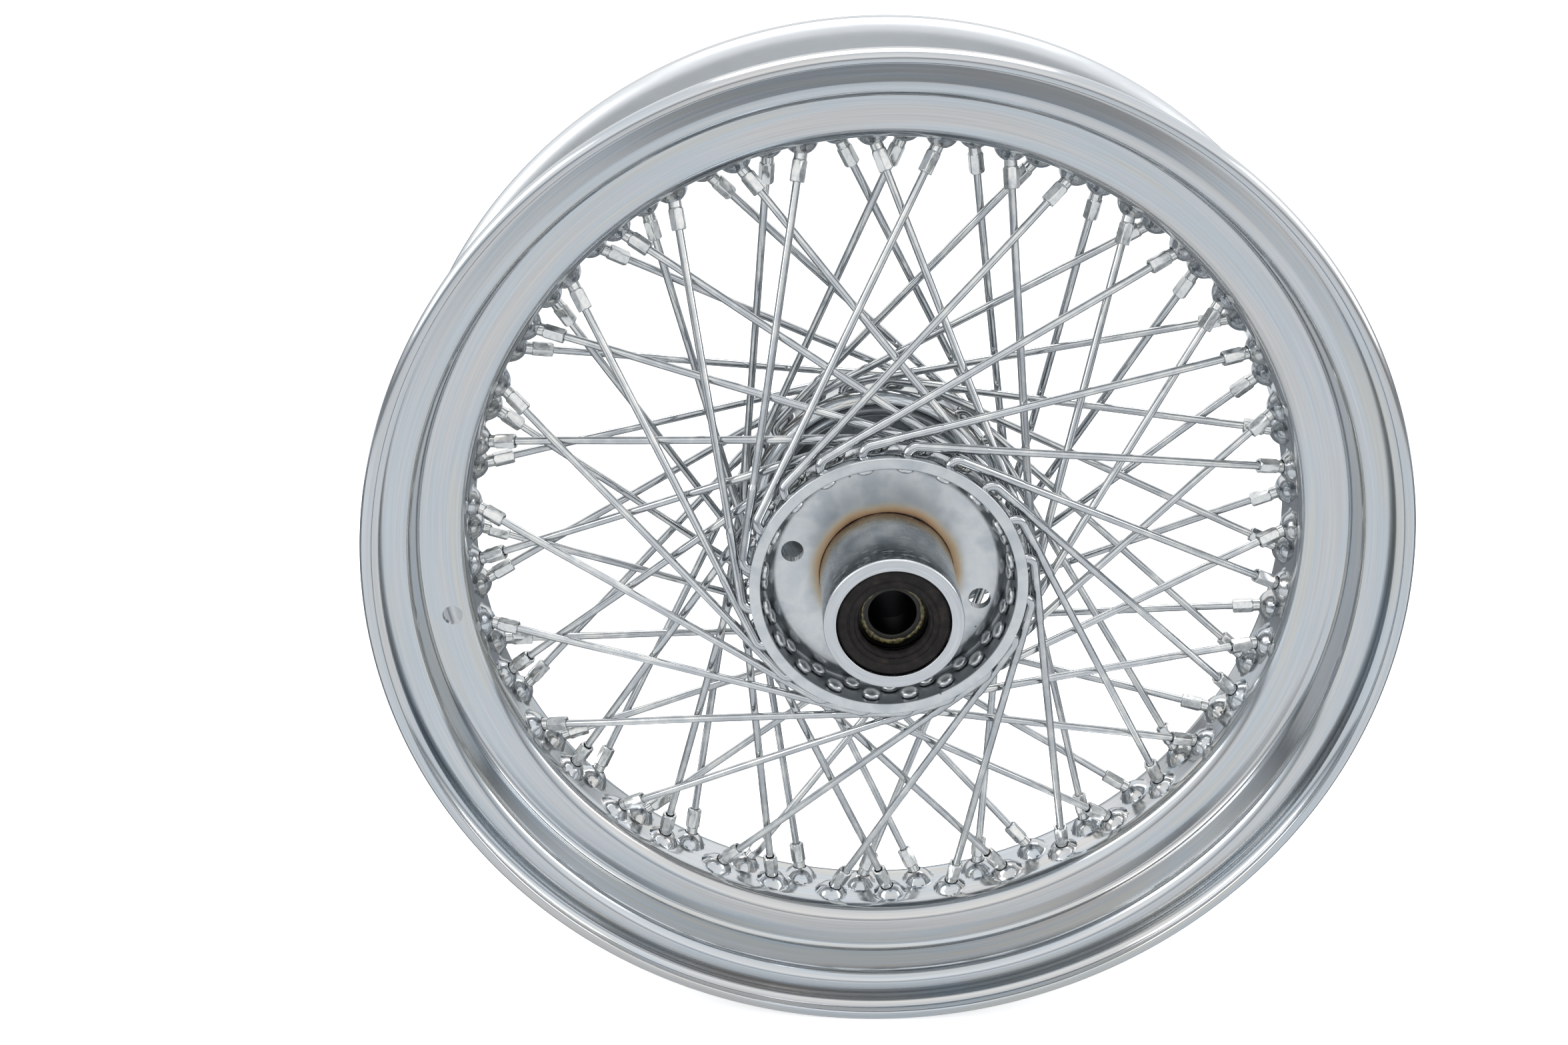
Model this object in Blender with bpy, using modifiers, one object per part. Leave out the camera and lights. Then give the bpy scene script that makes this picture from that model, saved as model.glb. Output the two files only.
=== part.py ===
"""Spoked motorcycle wheel: a 16 x 3.00 drop-centre rim, a pressed-flange hub and eighty spokes.

The axle lies along Y, the long end of the hub points to -Y and the rim's centre plane is Y = 0.
Angles round the wheel are measured from +X towards +Z. Every length is in metres.
"""

import math

import bmesh
import bpy
from mathutils import Matrix, Vector

MM = 0.001

# Clearances and mesh fineness
GAP = 0.3 * MM
WELD = 0.001 * MM
RIM_STEPS = 40
FLANGE_STEPS = 40
HUB_STEPS = 32
BEARING_STEPS = 24
SPOKE_SIDES = 6
OVERRUN = 5.0 * MM

# Rim: one rolled sheet, described by the side that faces the hub
RIM_RADIUS = 217.9 * MM
RIM_HALF_WIDTH = 50.8 * MM
RIM_SHEET = 2.5 * MM
RIM_WALL_HEIGHT = 19.3 * MM
RIM_WALL_FLARE = 2.0 * MM
RIM_WALL_CORNER = 2.2 * MM
LIP_CURL = 2.4 * MM
LIP_REACH = 9.8 * MM
WELL_DEPTH = 20.1 * MM
WELL_HALF_WIDTH = 19.5 * MM
WELL_WALL_DRAFT = 1.0 * MM
WELL_CORNER = 6.0 * MM
VALVE_HOLE_RADIUS = 4.3 * MM
VALVE_HOLE_RISE = 9.5 * MM
VALVE_HOLE_ANGLE = 189.5
VALVE_HOLE_SIDES = 8

# Flanges: each one pressed cup, open away from the rim's centre plane
FLANGE_RADIUS = 57.6 * MM
FLANGE_SHEET = 4.7 * MM
FLANGE_FACE = 53.3 * MM
FLANGE_CUP_DEPTH = 15.3 * MM
GUTTER_DEPTH = 3.4 * MM
GUTTER_WIDTH = 8.3 * MM
GUTTER_CORNER = 1.6 * MM
DRAIN_HOLE_RADIUS = 4.7 * MM
DRAIN_HOLE_CIRCLE = 41.0 * MM
DRAIN_HOLE_ANGLE = 166.0
DRAIN_HOLE_SIDES = 8

# Lacing: four rows of spokes, each row evenly spaced
SPOKES_PER_ROW = 20
OUTER_ROW_INSET = 6.3 * MM
ROW_SPACING = 7.5 * MM
OUTER_ROW_NIPPLE = 5.3 * MM
CONTACT_SHARE = 0.7
NEAR_OUTER_PHASE = 12.9

# Spokes
SPOKE_RADIUS = 1.7 * MM
BUTT_RADIUS = 2.05 * MM
BUTT_LENGTH = 35.0 * MM
SPOKE_HEAD_LIP = 1.7 * MM
SPOKE_HEAD_HEIGHT = 1.5 * MM
ELBOW_STANDOFF = 0.75 * MM
ELBOW_CUT_SHARE = 0.92

# Nipples
NIPPLE_RADIUS = 3.2 * MM
NIPPLE_HEAD_LIP = 1.5 * MM
NIPPLE_HEAD_HEIGHT = 2.0 * MM
NIPPLE_REACH = 16.0 * MM
NIPPLE_CHAMFER = 0.4 * MM

# Tapered roller bearings, each piece placed from the bearing's back face
CUP_RADIUS = 22.62 * MM
CUP_WIDTH = 12.07 * MM
CUP_MOUTH_WALL = 2.42 * MM
CUP_THROAT_WALL = 5.02 * MM
CONE_BORE_RADIUS = 9.525 * MM
CONE_WIDTH = 16.64 * MM
CONE_BACK_WALL = 4.1 * MM
CONE_FRONT_WALL = 2.5 * MM
BACK_RIB_HEIGHT = 1.8 * MM
BACK_RIB_WIDTH = 2.6 * MM
FRONT_RIB_HEIGHT = 0.9 * MM
FRONT_RIB_WIDTH = 1.6 * MM
BEARING_WIDTH = 15.49 * MM
BEARING_RECESS = 11.0 * MM
ROLLER_COUNT = 14
ROLLER_LOBE_SHARE = 0.24
CAGE_LOBE_SHARE = 0.36
CAGE_HALF_THICKNESS = 0.6 * MM

# Hub tube, bored for the bearings and reaching past both flanges
TUBE_WALL = 5.13 * MM
TUBE_NEAR_REACH = 33.7 * MM
TUBE_FAR_REACH = 12.7 * MM
SHOULDER_HEIGHT = 3.4 * MM
TUBE_BEVEL = 1.0 * MM

# Brake disc carrier on the far end of the tube
CARRIER_RADIUS = 48.5 * MM
CARRIER_THICKNESS = 8.0 * MM
CARRIER_BOLT_CIRCLE = 41.3 * MM
CARRIER_BOLT_RADIUS = 4.0 * MM
CARRIER_BOLTS = 5
CARRIER_BOLT_SIDES = 8

# Seals
SEAL_RECESS = 1.2 * MM
SEAL_WIDTH = 6.3 * MM
SEAL_FACE_WIDTH = 7.02 * MM
SEAL_STEP_DEPTH = 1.4 * MM
SEAL_LIP_WIDTH = 1.6 * MM
SEAL_LIP_DEPTH = 4.6 * MM
SEAL_FACE_BEVEL = 1.0 * MM

# Spacer between the two cones, and the shim that sets their end play
SLEEVE_CLEARANCE = 0.4 * MM
SLEEVE_WALL = 2.5 * MM
SHIM_THICKNESS = 1.2 * MM
SHIM_WALL = 2.1 * MM

# Values that follow from the sizes above
NEAR = -1
FAR = 1
HALF_TURN = math.pi
FULL_TURN = 2.0 * math.pi
HALF_TURN_DEGREES = 180.0
ROW_PITCH = 360.0 / SPOKES_PER_ROW
HOLE_PITCH = ROW_PITCH / 4.0
SEAT_RADIUS = RIM_RADIUS - RIM_WALL_HEIGHT
WELL_RADIUS = SEAT_RADIUS - WELL_DEPTH
ELBOW_RADIUS = FLANGE_RADIUS + BUTT_RADIUS + ELBOW_STANDOFF
TANGENT_SWEEP = math.degrees(math.acos(ELBOW_RADIUS / WELL_RADIUS))
SPOKE_SWEEP = round(TANGENT_SWEEP / ROW_PITCH * 2.0) * ROW_PITCH / 2.0
OUTER_ROW_HEAD = FLANGE_FACE - OUTER_ROW_INSET
INNER_ROW_HEAD = OUTER_ROW_HEAD - ROW_SPACING
FLANGE_DISH = FLANGE_FACE - FLANGE_CUP_DEPTH
BEARING_SEAT = CUP_RADIUS + GAP
TUBE_RADIUS = BEARING_SEAT + TUBE_WALL
TUBE_NEAR_END = FLANGE_FACE + TUBE_NEAR_REACH
TUBE_FAR_END = FLANGE_FACE + TUBE_FAR_REACH
CUP_MOUTH_RADIUS = CUP_RADIUS - CUP_MOUTH_WALL
CUP_THROAT_RADIUS = CUP_RADIUS - CUP_THROAT_WALL
RACE_BACK_RADIUS = CONE_BORE_RADIUS + CONE_BACK_WALL
RACE_FRONT_RADIUS = CONE_BORE_RADIUS + CONE_FRONT_WALL
SLEEVE_BORE_RADIUS = CONE_BORE_RADIUS + SLEEVE_CLEARANCE


def clear_scene():
    """Remove every object the scene holds."""
    for item in list(bpy.data.objects):
        bpy.data.objects.remove(item, do_unlink=True)


def new_collection(name):
    """Return a new collection linked to the scene."""
    collection = bpy.data.collections.new(name)
    bpy.context.scene.collection.children.link(collection)
    return collection


def new_material(name, color, roughness, metallic):
    """Return a plain Principled BSDF material."""
    material = bpy.data.materials.new(name)
    material.use_nodes = True
    shader = material.node_tree.nodes["Principled BSDF"]
    shader.inputs["Base Color"].default_value = (*color, 1.0)
    shader.inputs["Roughness"].default_value = roughness
    shader.inputs["Metallic"].default_value = metallic
    return material


def new_empty(name, collection, parent=None):
    """Return an empty on the axle's axis, as a joint's own frame."""
    empty = bpy.data.objects.new(name, None)
    empty.empty_display_size = CUP_RADIUS
    empty.parent = parent
    collection.objects.link(empty)
    return empty


def new_object(name, mesh, collection, material=None, parent=None):
    """Link a mesh to the scene as a named object."""
    item = bpy.data.objects.new(name, mesh)
    item.parent = parent
    collection.objects.link(item)
    if material:
        mesh.materials.append(material)
    return item


def round_point(radius, angle, y):
    """Return the point at a radius and an angle in degrees round the axle."""
    turn = math.radians(angle)
    return Vector((radius * math.cos(turn), y, radius * math.sin(turn)))


def clockwise(outline):
    """Return a closed (radius, y) outline in the order that a Screw turns outside out."""
    area = 0.0
    for (r_a, y_a), (r_b, y_b) in zip(outline, outline[1:] + outline[:1]):
        area += r_a * y_b - r_b * y_a
    return outline if area < 0.0 else outline[::-1]


def chamfered(corner, before, after, cut):
    """Return the two points that cut a corner back by a length along both its sides."""
    corner = Vector(corner)
    first = corner + (Vector(before) - corner).normalized() * cut
    second = corner + (Vector(after) - corner).normalized() * cut
    return [tuple(first), tuple(second)]


def outline_mesh(name, outline, closed):
    """Return a mesh that is a (radius, y) outline standing at +X, with the axle along its Z."""
    mesh = bpy.data.meshes.new(name)
    points = [(radius, 0.0, y) for radius, y in outline]
    edges = [(index, index + 1) for index in range(len(points) - 1)]
    if closed:
        edges.append((len(points) - 1, 0))
    mesh.from_pydata(points, edges, [])
    return mesh


def add_screw(item, steps):
    """Turn an outline a full turn about its object's Z."""
    screw = item.modifiers.new("turn", "SCREW")
    screw.axis = "Z"
    screw.angle = FULL_TURN
    screw.steps = steps
    screw.render_steps = steps
    screw.use_merge_vertices = True
    screw.merge_threshold = WELD
    screw.use_smooth_shade = False


def turned(name, outline, steps, kit, material, parent, phase=0.0):
    """Return a solid of revolution about the axle from a closed (radius, y) outline."""
    mesh = outline_mesh(name, clockwise(outline), closed=True)
    item = new_object(name, mesh, kit["parts"], material, parent)
    lay_on_axle(item, phase)
    add_screw(item, steps)
    return item


def pressed(name, path, thickness, steps, kit, material, parent, phase=0.0):
    """Return a turned sheet whose thickness lies to the right of an open (radius, y) path."""
    mesh = outline_mesh(name, path, closed=False)
    item = new_object(name, mesh, kit["parts"], material, parent)
    lay_on_axle(item, phase)
    add_screw(item, steps)
    sheet = item.modifiers.new("sheet", "SOLIDIFY")
    sheet.thickness = thickness
    sheet.offset = -1.0
    sheet.use_even_offset = True
    return item


def lay_on_axle(item, phase):
    """Lay an object's Z along the axle and turn its first facet to a phase in degrees."""
    about_axle = Matrix.Rotation(math.radians(-phase), 4, "Y")
    item.matrix_basis = about_axle @ Matrix.Rotation(math.radians(-90.0), 4, "X")


def clear_radius(radius, sides):
    """Return a polygonal hole's corner radius that clears a round or polygonal shaft."""
    return (radius + GAP) / math.cos(HALF_TURN / sides)


def drill_mesh(name, start, end, radius, sides):
    """Return a mesh that is a straight drill between two points, in world coordinates."""
    mesh = bpy.data.meshes.new(name)
    axis = end - start
    shape = bmesh.new()
    bmesh.ops.create_cone(shape, cap_ends=True, segments=sides, radius1=radius,
                          radius2=radius, depth=axis.length)
    turn = axis.to_track_quat("Z", "Y").to_matrix().to_4x4()
    bmesh.ops.transform(shape, matrix=Matrix.Translation((start + end) / 2.0) @ turn,
                        verts=shape.verts)
    shape.to_mesh(mesh)
    shape.free()
    return mesh


def add_drill(name, start, end, radius, sides, cutters):
    """Add a drill to a collection of cutters."""
    item = new_object(name, drill_mesh(name, start, end, radius, sides), cutters)
    hide_cutter(item)


def hide_cutter(item):
    """Mark an object as a cutter and no part of the model."""
    item.hide_render = True
    item.display_type = "WIRE"


def cut_with(item, cutters):
    """Cut an object with every object in a collection."""
    cut = item.modifiers.new("holes", "BOOLEAN")
    cut.operation = "DIFFERENCE"
    cut.solver = "EXACT"
    cut.operand_type = "COLLECTION"
    cut.collection = cutters


def outer_nipple_angle(side, index):
    """Return the angle of an outer-row nipple: the far side's sit one rim hole further back."""
    start = NEAR_OUTER_PHASE if side == NEAR else NEAR_OUTER_PHASE - HOLE_PITCH
    return start + index * ROW_PITCH


def head_angle(side, is_outer, nipple_angle):
    """Return the angle of a spoke's head: the rows of a flange lean opposite ways."""
    lean = -side if is_outer else side
    return nipple_angle + lean * SPOKE_SWEEP


def flat_cross(first, second):
    """Return how far one vector is from lying along another, seen along the axle."""
    return first.x * second.z - first.z * second.x


def inner_row_nipple():
    """Return the inner row's offset at the rim, so that the spokes of a pair touch in crossing."""
    elbow = round_point(ELBOW_RADIUS, SPOKE_SWEEP, OUTER_ROW_HEAD)
    seat = round_point(WELL_RADIUS, 0.0, OUTER_ROW_NIPPLE)
    middle = round_point(1.0, ROW_PITCH / 4.0, 0.0)
    share = flat_cross(elbow, middle) / flat_cross(elbow - seat, middle)
    outer_y = elbow.y + (seat.y - elbow.y) * share
    inner_y = outer_y - 2.0 * SPOKE_RADIUS * CONTACT_SHARE
    return INNER_ROW_HEAD + (inner_y - INNER_ROW_HEAD) / share


class Spoke:
    """One spoke's line: its head on a flange, its elbow, and its nipple in the rim."""

    def __init__(self, side, is_outer, nipple_angle):
        """Place a spoke on the near or the far flange, in its outer or its inner row."""
        self.nipple_angle = nipple_angle
        self.head_angle = head_angle(side, is_outer, nipple_angle)
        self.head_y = side * (OUTER_ROW_HEAD if is_outer else INNER_ROW_HEAD)
        nipple_y = side * (OUTER_ROW_NIPPLE if is_outer else inner_row_nipple())
        facet = math.cos(HALF_TURN / FLANGE_STEPS)
        inner_wall = (FLANGE_RADIUS - FLANGE_SHEET) * facet
        self.head_base = round_point(inner_wall - GAP, self.head_angle, self.head_y)
        self.head_end = round_point(inner_wall - GAP - SPOKE_HEAD_HEIGHT, self.head_angle,
                                    self.head_y)
        self.elbow = round_point(ELBOW_RADIUS, self.head_angle, self.head_y)
        self.seat = round_point(WELL_RADIUS, nipple_angle, nipple_y)
        self.run = (self.seat - self.elbow).normalized()

    def along(self, distance):
        """Return the point at a distance beyond the rim's inner skin, along the spoke."""
        return self.seat + self.run * distance

    def stations(self):
        """Return the (point, radius) stations of the spoke and its nipple, head first."""
        out = (self.elbow - self.head_base).normalized()
        elbow_cut = BUTT_RADIUS * ELBOW_CUT_SHARE
        lean = self.run.angle(round_point(1.0, self.nipple_angle, 0.0))
        head_radius = NIPPLE_RADIUS + NIPPLE_HEAD_LIP
        head_start = RIM_SHEET / math.cos(lean) + head_radius * math.tan(lean) + GAP
        return [
            (self.head_end, BUTT_RADIUS + SPOKE_HEAD_LIP),
            (self.head_base, BUTT_RADIUS),
            (self.elbow - out * elbow_cut, BUTT_RADIUS),
            (self.elbow + self.run * elbow_cut, BUTT_RADIUS),
            (self.elbow + self.run * BUTT_LENGTH, SPOKE_RADIUS),
            (self.along(-NIPPLE_REACH), SPOKE_RADIUS),
            (self.along(NIPPLE_CHAMFER - NIPPLE_REACH), NIPPLE_RADIUS),
            (self.along(head_start), NIPPLE_RADIUS),
            (self.along(head_start + NIPPLE_HEAD_HEIGHT), head_radius),
        ]

    def add_rim_drill(self, name, cutters):
        """Add the drill that makes this spoke's nipple hole."""
        radius = clear_radius(NIPPLE_RADIUS, SPOKE_SIDES)
        add_drill(name, self.along(-OVERRUN), self.along(RIM_SHEET + OVERRUN), radius,
                  SPOKE_SIDES, cutters)

    def add_flange_drill(self, name, cutters):
        """Add the drill that makes this spoke's hole in its flange."""
        radius = clear_radius(BUTT_RADIUS, SPOKE_SIDES)
        outside = round_point(FLANGE_RADIUS + OVERRUN, self.head_angle, self.head_y)
        inside = round_point(FLANGE_RADIUS - FLANGE_SHEET - OVERRUN, self.head_angle, self.head_y)
        add_drill(name, inside, outside, radius, SPOKE_SIDES, cutters)


def wire_mesh(name, stations):
    """Return a closed mesh of a wire whose radius changes from station to station."""
    curve = bpy.data.curves.new(name, "CURVE")
    curve.dimensions = "3D"
    curve.bevel_depth = MM
    curve.bevel_resolution = (SPOKE_SIDES - 4) // 2
    curve.use_fill_caps = True
    spline = curve.splines.new("POLY")
    spline.points.add(len(stations) - 1)
    for point, (place, radius) in zip(spline.points, stations):
        point.co = (*place, 1.0)
        point.radius = radius / MM
    guide = bpy.data.objects.new(name, curve)
    bpy.context.scene.collection.objects.link(guide)
    graph = bpy.context.evaluated_depsgraph_get()
    mesh = bpy.data.meshes.new_from_object(guide.evaluated_get(graph))
    shape = bmesh.new()
    shape.from_mesh(mesh)
    bmesh.ops.remove_doubles(shape, verts=shape.verts, dist=WELD)
    bmesh.ops.recalc_face_normals(shape, faces=shape.faces)
    shape.to_mesh(mesh)
    shape.free()
    bpy.data.objects.remove(guide, do_unlink=True)
    return mesh


def build_spoke_pairs(kit, parent):
    """Build each flange's crossing pairs: two spokes and their nipples, joined where they touch."""
    for side, side_name in ((NEAR, "near"), (FAR, "far")):
        for index in range(SPOKES_PER_ROW):
            number = f"{index + 1:02d}"
            outer_angle = outer_nipple_angle(side, index)
            outer = Spoke(side, True, outer_angle)
            inner = Spoke(side, False, outer_angle - side * ROW_PITCH / 2.0)
            pair_name = f"{side_name}_spoke_pair_{number}"
            pair = new_object(pair_name, wire_mesh(pair_name, outer.stations()), kit["parts"],
                              kit["spoke_steel"], parent)
            other_name = f"{side_name}_inner_spoke_{number}"
            other = new_object(other_name, wire_mesh(other_name, inner.stations()),
                               kit["joined"], kit["spoke_steel"])
            hide_cutter(other)
            join = pair.modifiers.new("crossing", "BOOLEAN")
            join.operation = "UNION"
            join.solver = "EXACT"
            join.object = other
            for row_name, spoke in (("outer", outer), ("inner", inner)):
                tag = f"{side_name}_{row_name}_{number}"
                spoke.add_rim_drill(f"rim_drill_{tag}", kit["rim_cutters"])
                spoke.add_flange_drill(f"flange_drill_{tag}", kit[f"{side_name}_flange_cutters"])


def rim_half_path():
    """Return half of the rim's hub side as (radius, y), from the centre plane to the lip."""
    well_corner = (WELL_RADIUS, WELL_HALF_WIDTH)
    seat_start = (SEAT_RADIUS, WELL_HALF_WIDTH + WELL_WALL_DRAFT)
    curl_top = RIM_RADIUS - RIM_SHEET
    wall_top = (curl_top - LIP_CURL, RIM_HALF_WIDTH - LIP_REACH)
    wall_foot = (SEAT_RADIUS, wall_top[1] + RIM_WALL_FLARE)
    lip_edge = RIM_HALF_WIDTH - RIM_SHEET
    return [
        *chamfered(well_corner, (WELL_RADIUS, 0.0), seat_start, WELL_CORNER),
        seat_start,
        *chamfered(wall_foot, seat_start, wall_top, RIM_WALL_CORNER),
        wall_top,
        (curl_top, wall_top[1] + LIP_CURL),
        (curl_top, lip_edge - LIP_CURL / 2.0),
        (curl_top - LIP_CURL, lip_edge),
    ]


def build_rim(kit, parent):
    """Build the rolled drop-centre rim with its nipple holes and its valve hole."""
    half = rim_half_path()
    mirrored = [(radius, -y) for radius, y in reversed(half)]
    phase = NEAR_OUTER_PHASE - HOLE_PITCH / 2.0
    rim = pressed("rim", mirrored + half, RIM_SHEET, RIM_STEPS, kit, kit["rim_plate"], parent,
                  phase)
    valve_radius = WELL_RADIUS + VALVE_HOLE_RISE
    add_drill("valve_drill",
              round_point(valve_radius, VALVE_HOLE_ANGLE, OVERRUN - WELL_HALF_WIDTH),
              round_point(valve_radius, VALVE_HOLE_ANGLE, -OVERRUN - WELL_HALF_WIDTH),
              VALVE_HOLE_RADIUS, VALVE_HOLE_SIDES, kit["rim_cutters"])
    cut_with(rim, kit["rim_cutters"])
    return rim


def flange_path():
    """Return a flange's open face as (radius, y) from the tube to the rolled edge."""
    wall = FLANGE_RADIUS - FLANGE_SHEET
    gutter = FLANGE_DISH - GUTTER_DEPTH
    return [
        (TUBE_RADIUS + GAP, FLANGE_DISH),
        (wall - GUTTER_CORNER - GUTTER_WIDTH, FLANGE_DISH),
        (wall - GUTTER_CORNER, gutter),
        (wall, gutter + GUTTER_CORNER),
        (wall, FLANGE_FACE),
    ]


def build_flange(side, side_name, kit, parent):
    """Build one pressed flange with its spoke holes and its two drain holes."""
    path = [(radius, side * y) for radius, y in flange_path()]
    if side == NEAR:
        path.reverse()
    centre_of_hole = head_angle(side, True, outer_nipple_angle(side, 0))
    phase = centre_of_hole + HALF_TURN_DEGREES / FLANGE_STEPS
    flange = pressed(f"{side_name}_flange", path, FLANGE_SHEET, FLANGE_STEPS, kit,
                     kit["flange_plate"], parent, phase)
    cutters = kit[f"{side_name}_flange_cutters"]
    for turn in (0.0, HALF_TURN_DEGREES):
        angle = DRAIN_HOLE_ANGLE + turn
        add_drill(f"{side_name}_drain_drill_{int(turn)}",
                  round_point(DRAIN_HOLE_CIRCLE, angle, side * (FLANGE_DISH + OVERRUN)),
                  round_point(DRAIN_HOLE_CIRCLE, angle,
                              side * (FLANGE_DISH - FLANGE_SHEET - OVERRUN)),
                  DRAIN_HOLE_RADIUS, DRAIN_HOLE_SIDES, cutters)
    cut_with(flange, cutters)
    return flange


def build_tube(kit, parent):
    """Build the hub tube, bored at each end for a bearing cup and a seal."""
    shoulder = CUP_RADIUS - SHOULDER_HEIGHT
    cup_back = BEARING_RECESS + BEARING_WIDTH
    near_shoulder = cup_back + GAP - TUBE_NEAR_END
    far_shoulder = TUBE_FAR_END - cup_back - GAP
    outline = [
        (TUBE_RADIUS - TUBE_BEVEL, -TUBE_NEAR_END),
        (TUBE_RADIUS, TUBE_BEVEL - TUBE_NEAR_END),
        (TUBE_RADIUS, TUBE_FAR_END - TUBE_BEVEL),
        (TUBE_RADIUS - TUBE_BEVEL, TUBE_FAR_END),
        (BEARING_SEAT, TUBE_FAR_END),
        (BEARING_SEAT, far_shoulder),
        (shoulder, far_shoulder),
        (shoulder, near_shoulder),
        (BEARING_SEAT, near_shoulder),
        (BEARING_SEAT, -TUBE_NEAR_END),
    ]
    return turned("hub_tube", outline, HUB_STEPS, kit, kit["tube_steel"], parent)


def build_carrier(kit, parent):
    """Build the ring on the tube's far end that a brake disc bolts to."""
    back = TUBE_FAR_END - CARRIER_THICKNESS
    bore = TUBE_RADIUS + GAP
    outline = [
        (bore, back),
        (CARRIER_RADIUS, back),
        (CARRIER_RADIUS, TUBE_FAR_END),
        (bore, TUBE_FAR_END),
    ]
    carrier = turned("disc_carrier", outline, HUB_STEPS, kit, kit["tube_steel"], parent)
    for index in range(CARRIER_BOLTS):
        angle = 2.0 * HALF_TURN_DEGREES * index / CARRIER_BOLTS
        add_drill(f"carrier_drill_{index + 1}",
                  round_point(CARRIER_BOLT_CIRCLE, angle, back - OVERRUN),
                  round_point(CARRIER_BOLT_CIRCLE, angle, TUBE_FAR_END + OVERRUN),
                  CARRIER_BOLT_RADIUS, CARRIER_BOLT_SIDES, kit["carrier_cutters"])
    cut_with(carrier, kit["carrier_cutters"])
    return carrier


def tube_end(side):
    """Return the distance of the tube's end from the centre plane, on one side."""
    return TUBE_NEAR_END if side == NEAR else TUBE_FAR_END


def build_cup(side, name, kit, parent):
    """Build a bearing's outer ring, its mouth towards the tube's end."""
    back = tube_end(side) - BEARING_RECESS - BEARING_WIDTH
    mouth = back + CUP_WIDTH
    outline = [
        (CUP_RADIUS, side * back),
        (CUP_RADIUS, side * mouth),
        (CUP_MOUTH_RADIUS, side * mouth),
        (CUP_THROAT_RADIUS, side * back),
    ]
    return turned(name, outline, BEARING_STEPS, kit, kit["bearing_steel"], parent)


def build_cone(side, name, kit, parent):
    """Build a bearing's inner ring, its thick rib towards the tube's end."""
    back = tube_end(side) - BEARING_RECESS
    front = back - CONE_WIDTH
    back_rib = back - BACK_RIB_WIDTH
    front_rib = front + FRONT_RIB_WIDTH
    outline = [
        (CONE_BORE_RADIUS, side * back),
        (RACE_BACK_RADIUS + BACK_RIB_HEIGHT, side * back),
        (RACE_BACK_RADIUS + BACK_RIB_HEIGHT, side * back_rib),
        (RACE_BACK_RADIUS, side * back_rib),
        (RACE_FRONT_RADIUS, side * front_rib),
        (RACE_FRONT_RADIUS + FRONT_RIB_HEIGHT, side * front_rib),
        (RACE_FRONT_RADIUS + FRONT_RIB_HEIGHT, side * front),
        (CONE_BORE_RADIUS, side * front),
    ]
    return turned(name, outline, BEARING_STEPS, kit, kit["bearing_steel"], parent)


def roller_outline(roller_radius, cage_radius):
    """Return a ring of rollers in a cage, as points round one side of its section."""
    points = []
    pitch = 2.0 * HALF_TURN_DEGREES / ROLLER_COUNT
    for index in range(ROLLER_COUNT):
        centre = index * pitch
        points.append((cage_radius, centre - CAGE_LOBE_SHARE * pitch))
        points.append((roller_radius, centre - ROLLER_LOBE_SHARE * pitch))
        points.append((roller_radius, centre + ROLLER_LOBE_SHARE * pitch))
        points.append((cage_radius, centre + CAGE_LOBE_SHARE * pitch))
    return points


def build_rollers(side, name, kit, parent):
    """Build a bearing's rollers in their cage, as one ring with a lobe for each roller."""
    facet = math.cos(HALF_TURN / BEARING_STEPS)
    lobe_facet = math.cos(FULL_TURN * ROLLER_LOBE_SHARE / ROLLER_COUNT)
    cone_back = tube_end(side) - BEARING_RECESS
    back = cone_back - BACK_RIB_WIDTH - GAP
    front = cone_back - CONE_WIDTH + FRONT_RIB_WIDTH + GAP
    cup_back = cone_back - BEARING_WIDTH
    cup_slope = (CUP_MOUTH_RADIUS - CUP_THROAT_RADIUS) / CUP_WIDTH
    shape = bmesh.new()
    loops = []
    for y, race in ((back, RACE_BACK_RADIUS), (front, RACE_FRONT_RADIUS)):
        cup = CUP_THROAT_RADIUS + cup_slope * (y - cup_back)
        outer = cup * facet - GAP
        inner = (race + GAP) / lobe_facet
        middle = (outer + inner) / 2.0
        for roller_radius, cage_radius in ((outer, middle + CAGE_HALF_THICKNESS),
                                           (inner, middle - CAGE_HALF_THICKNESS)):
            loops.append([shape.verts.new(round_point(radius, angle, side * y))
                          for radius, angle in roller_outline(roller_radius, cage_radius)])
    back_outer, back_inner, front_outer, front_inner = loops
    for near_loop, far_loop in ((back_outer, back_inner), (back_inner, front_inner),
                                (front_inner, front_outer), (front_outer, back_outer)):
        for index in range(len(near_loop)):
            after = (index + 1) % len(near_loop)
            shape.faces.new((near_loop[index], near_loop[after], far_loop[after],
                             far_loop[index]))
    bmesh.ops.recalc_face_normals(shape, faces=shape.faces)
    mesh = bpy.data.meshes.new(name)
    shape.to_mesh(mesh)
    shape.free()
    return new_object(name, mesh, kit["parts"], kit["bearing_steel"], parent)


def build_seal(side, name, kit, parent):
    """Build a rubber lip seal, pressed in just below the tube's end."""
    face = tube_end(side) - SEAL_RECESS
    inner = face - SEAL_WIDTH
    step = CUP_RADIUS - SEAL_FACE_WIDTH
    lip = step - SEAL_LIP_WIDTH
    outline = [
        (CUP_RADIUS, side * inner),
        (CUP_RADIUS, side * (face - SEAL_FACE_BEVEL)),
        (CUP_RADIUS - SEAL_FACE_BEVEL, side * face),
        (step, side * face),
        (step, side * (face - SEAL_STEP_DEPTH)),
        (lip, side * (face - SEAL_STEP_DEPTH)),
        (lip, side * (face - SEAL_LIP_DEPTH)),
        (step, side * inner),
    ]
    return turned(name, outline, BEARING_STEPS, kit, kit["rubber"], parent)


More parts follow.
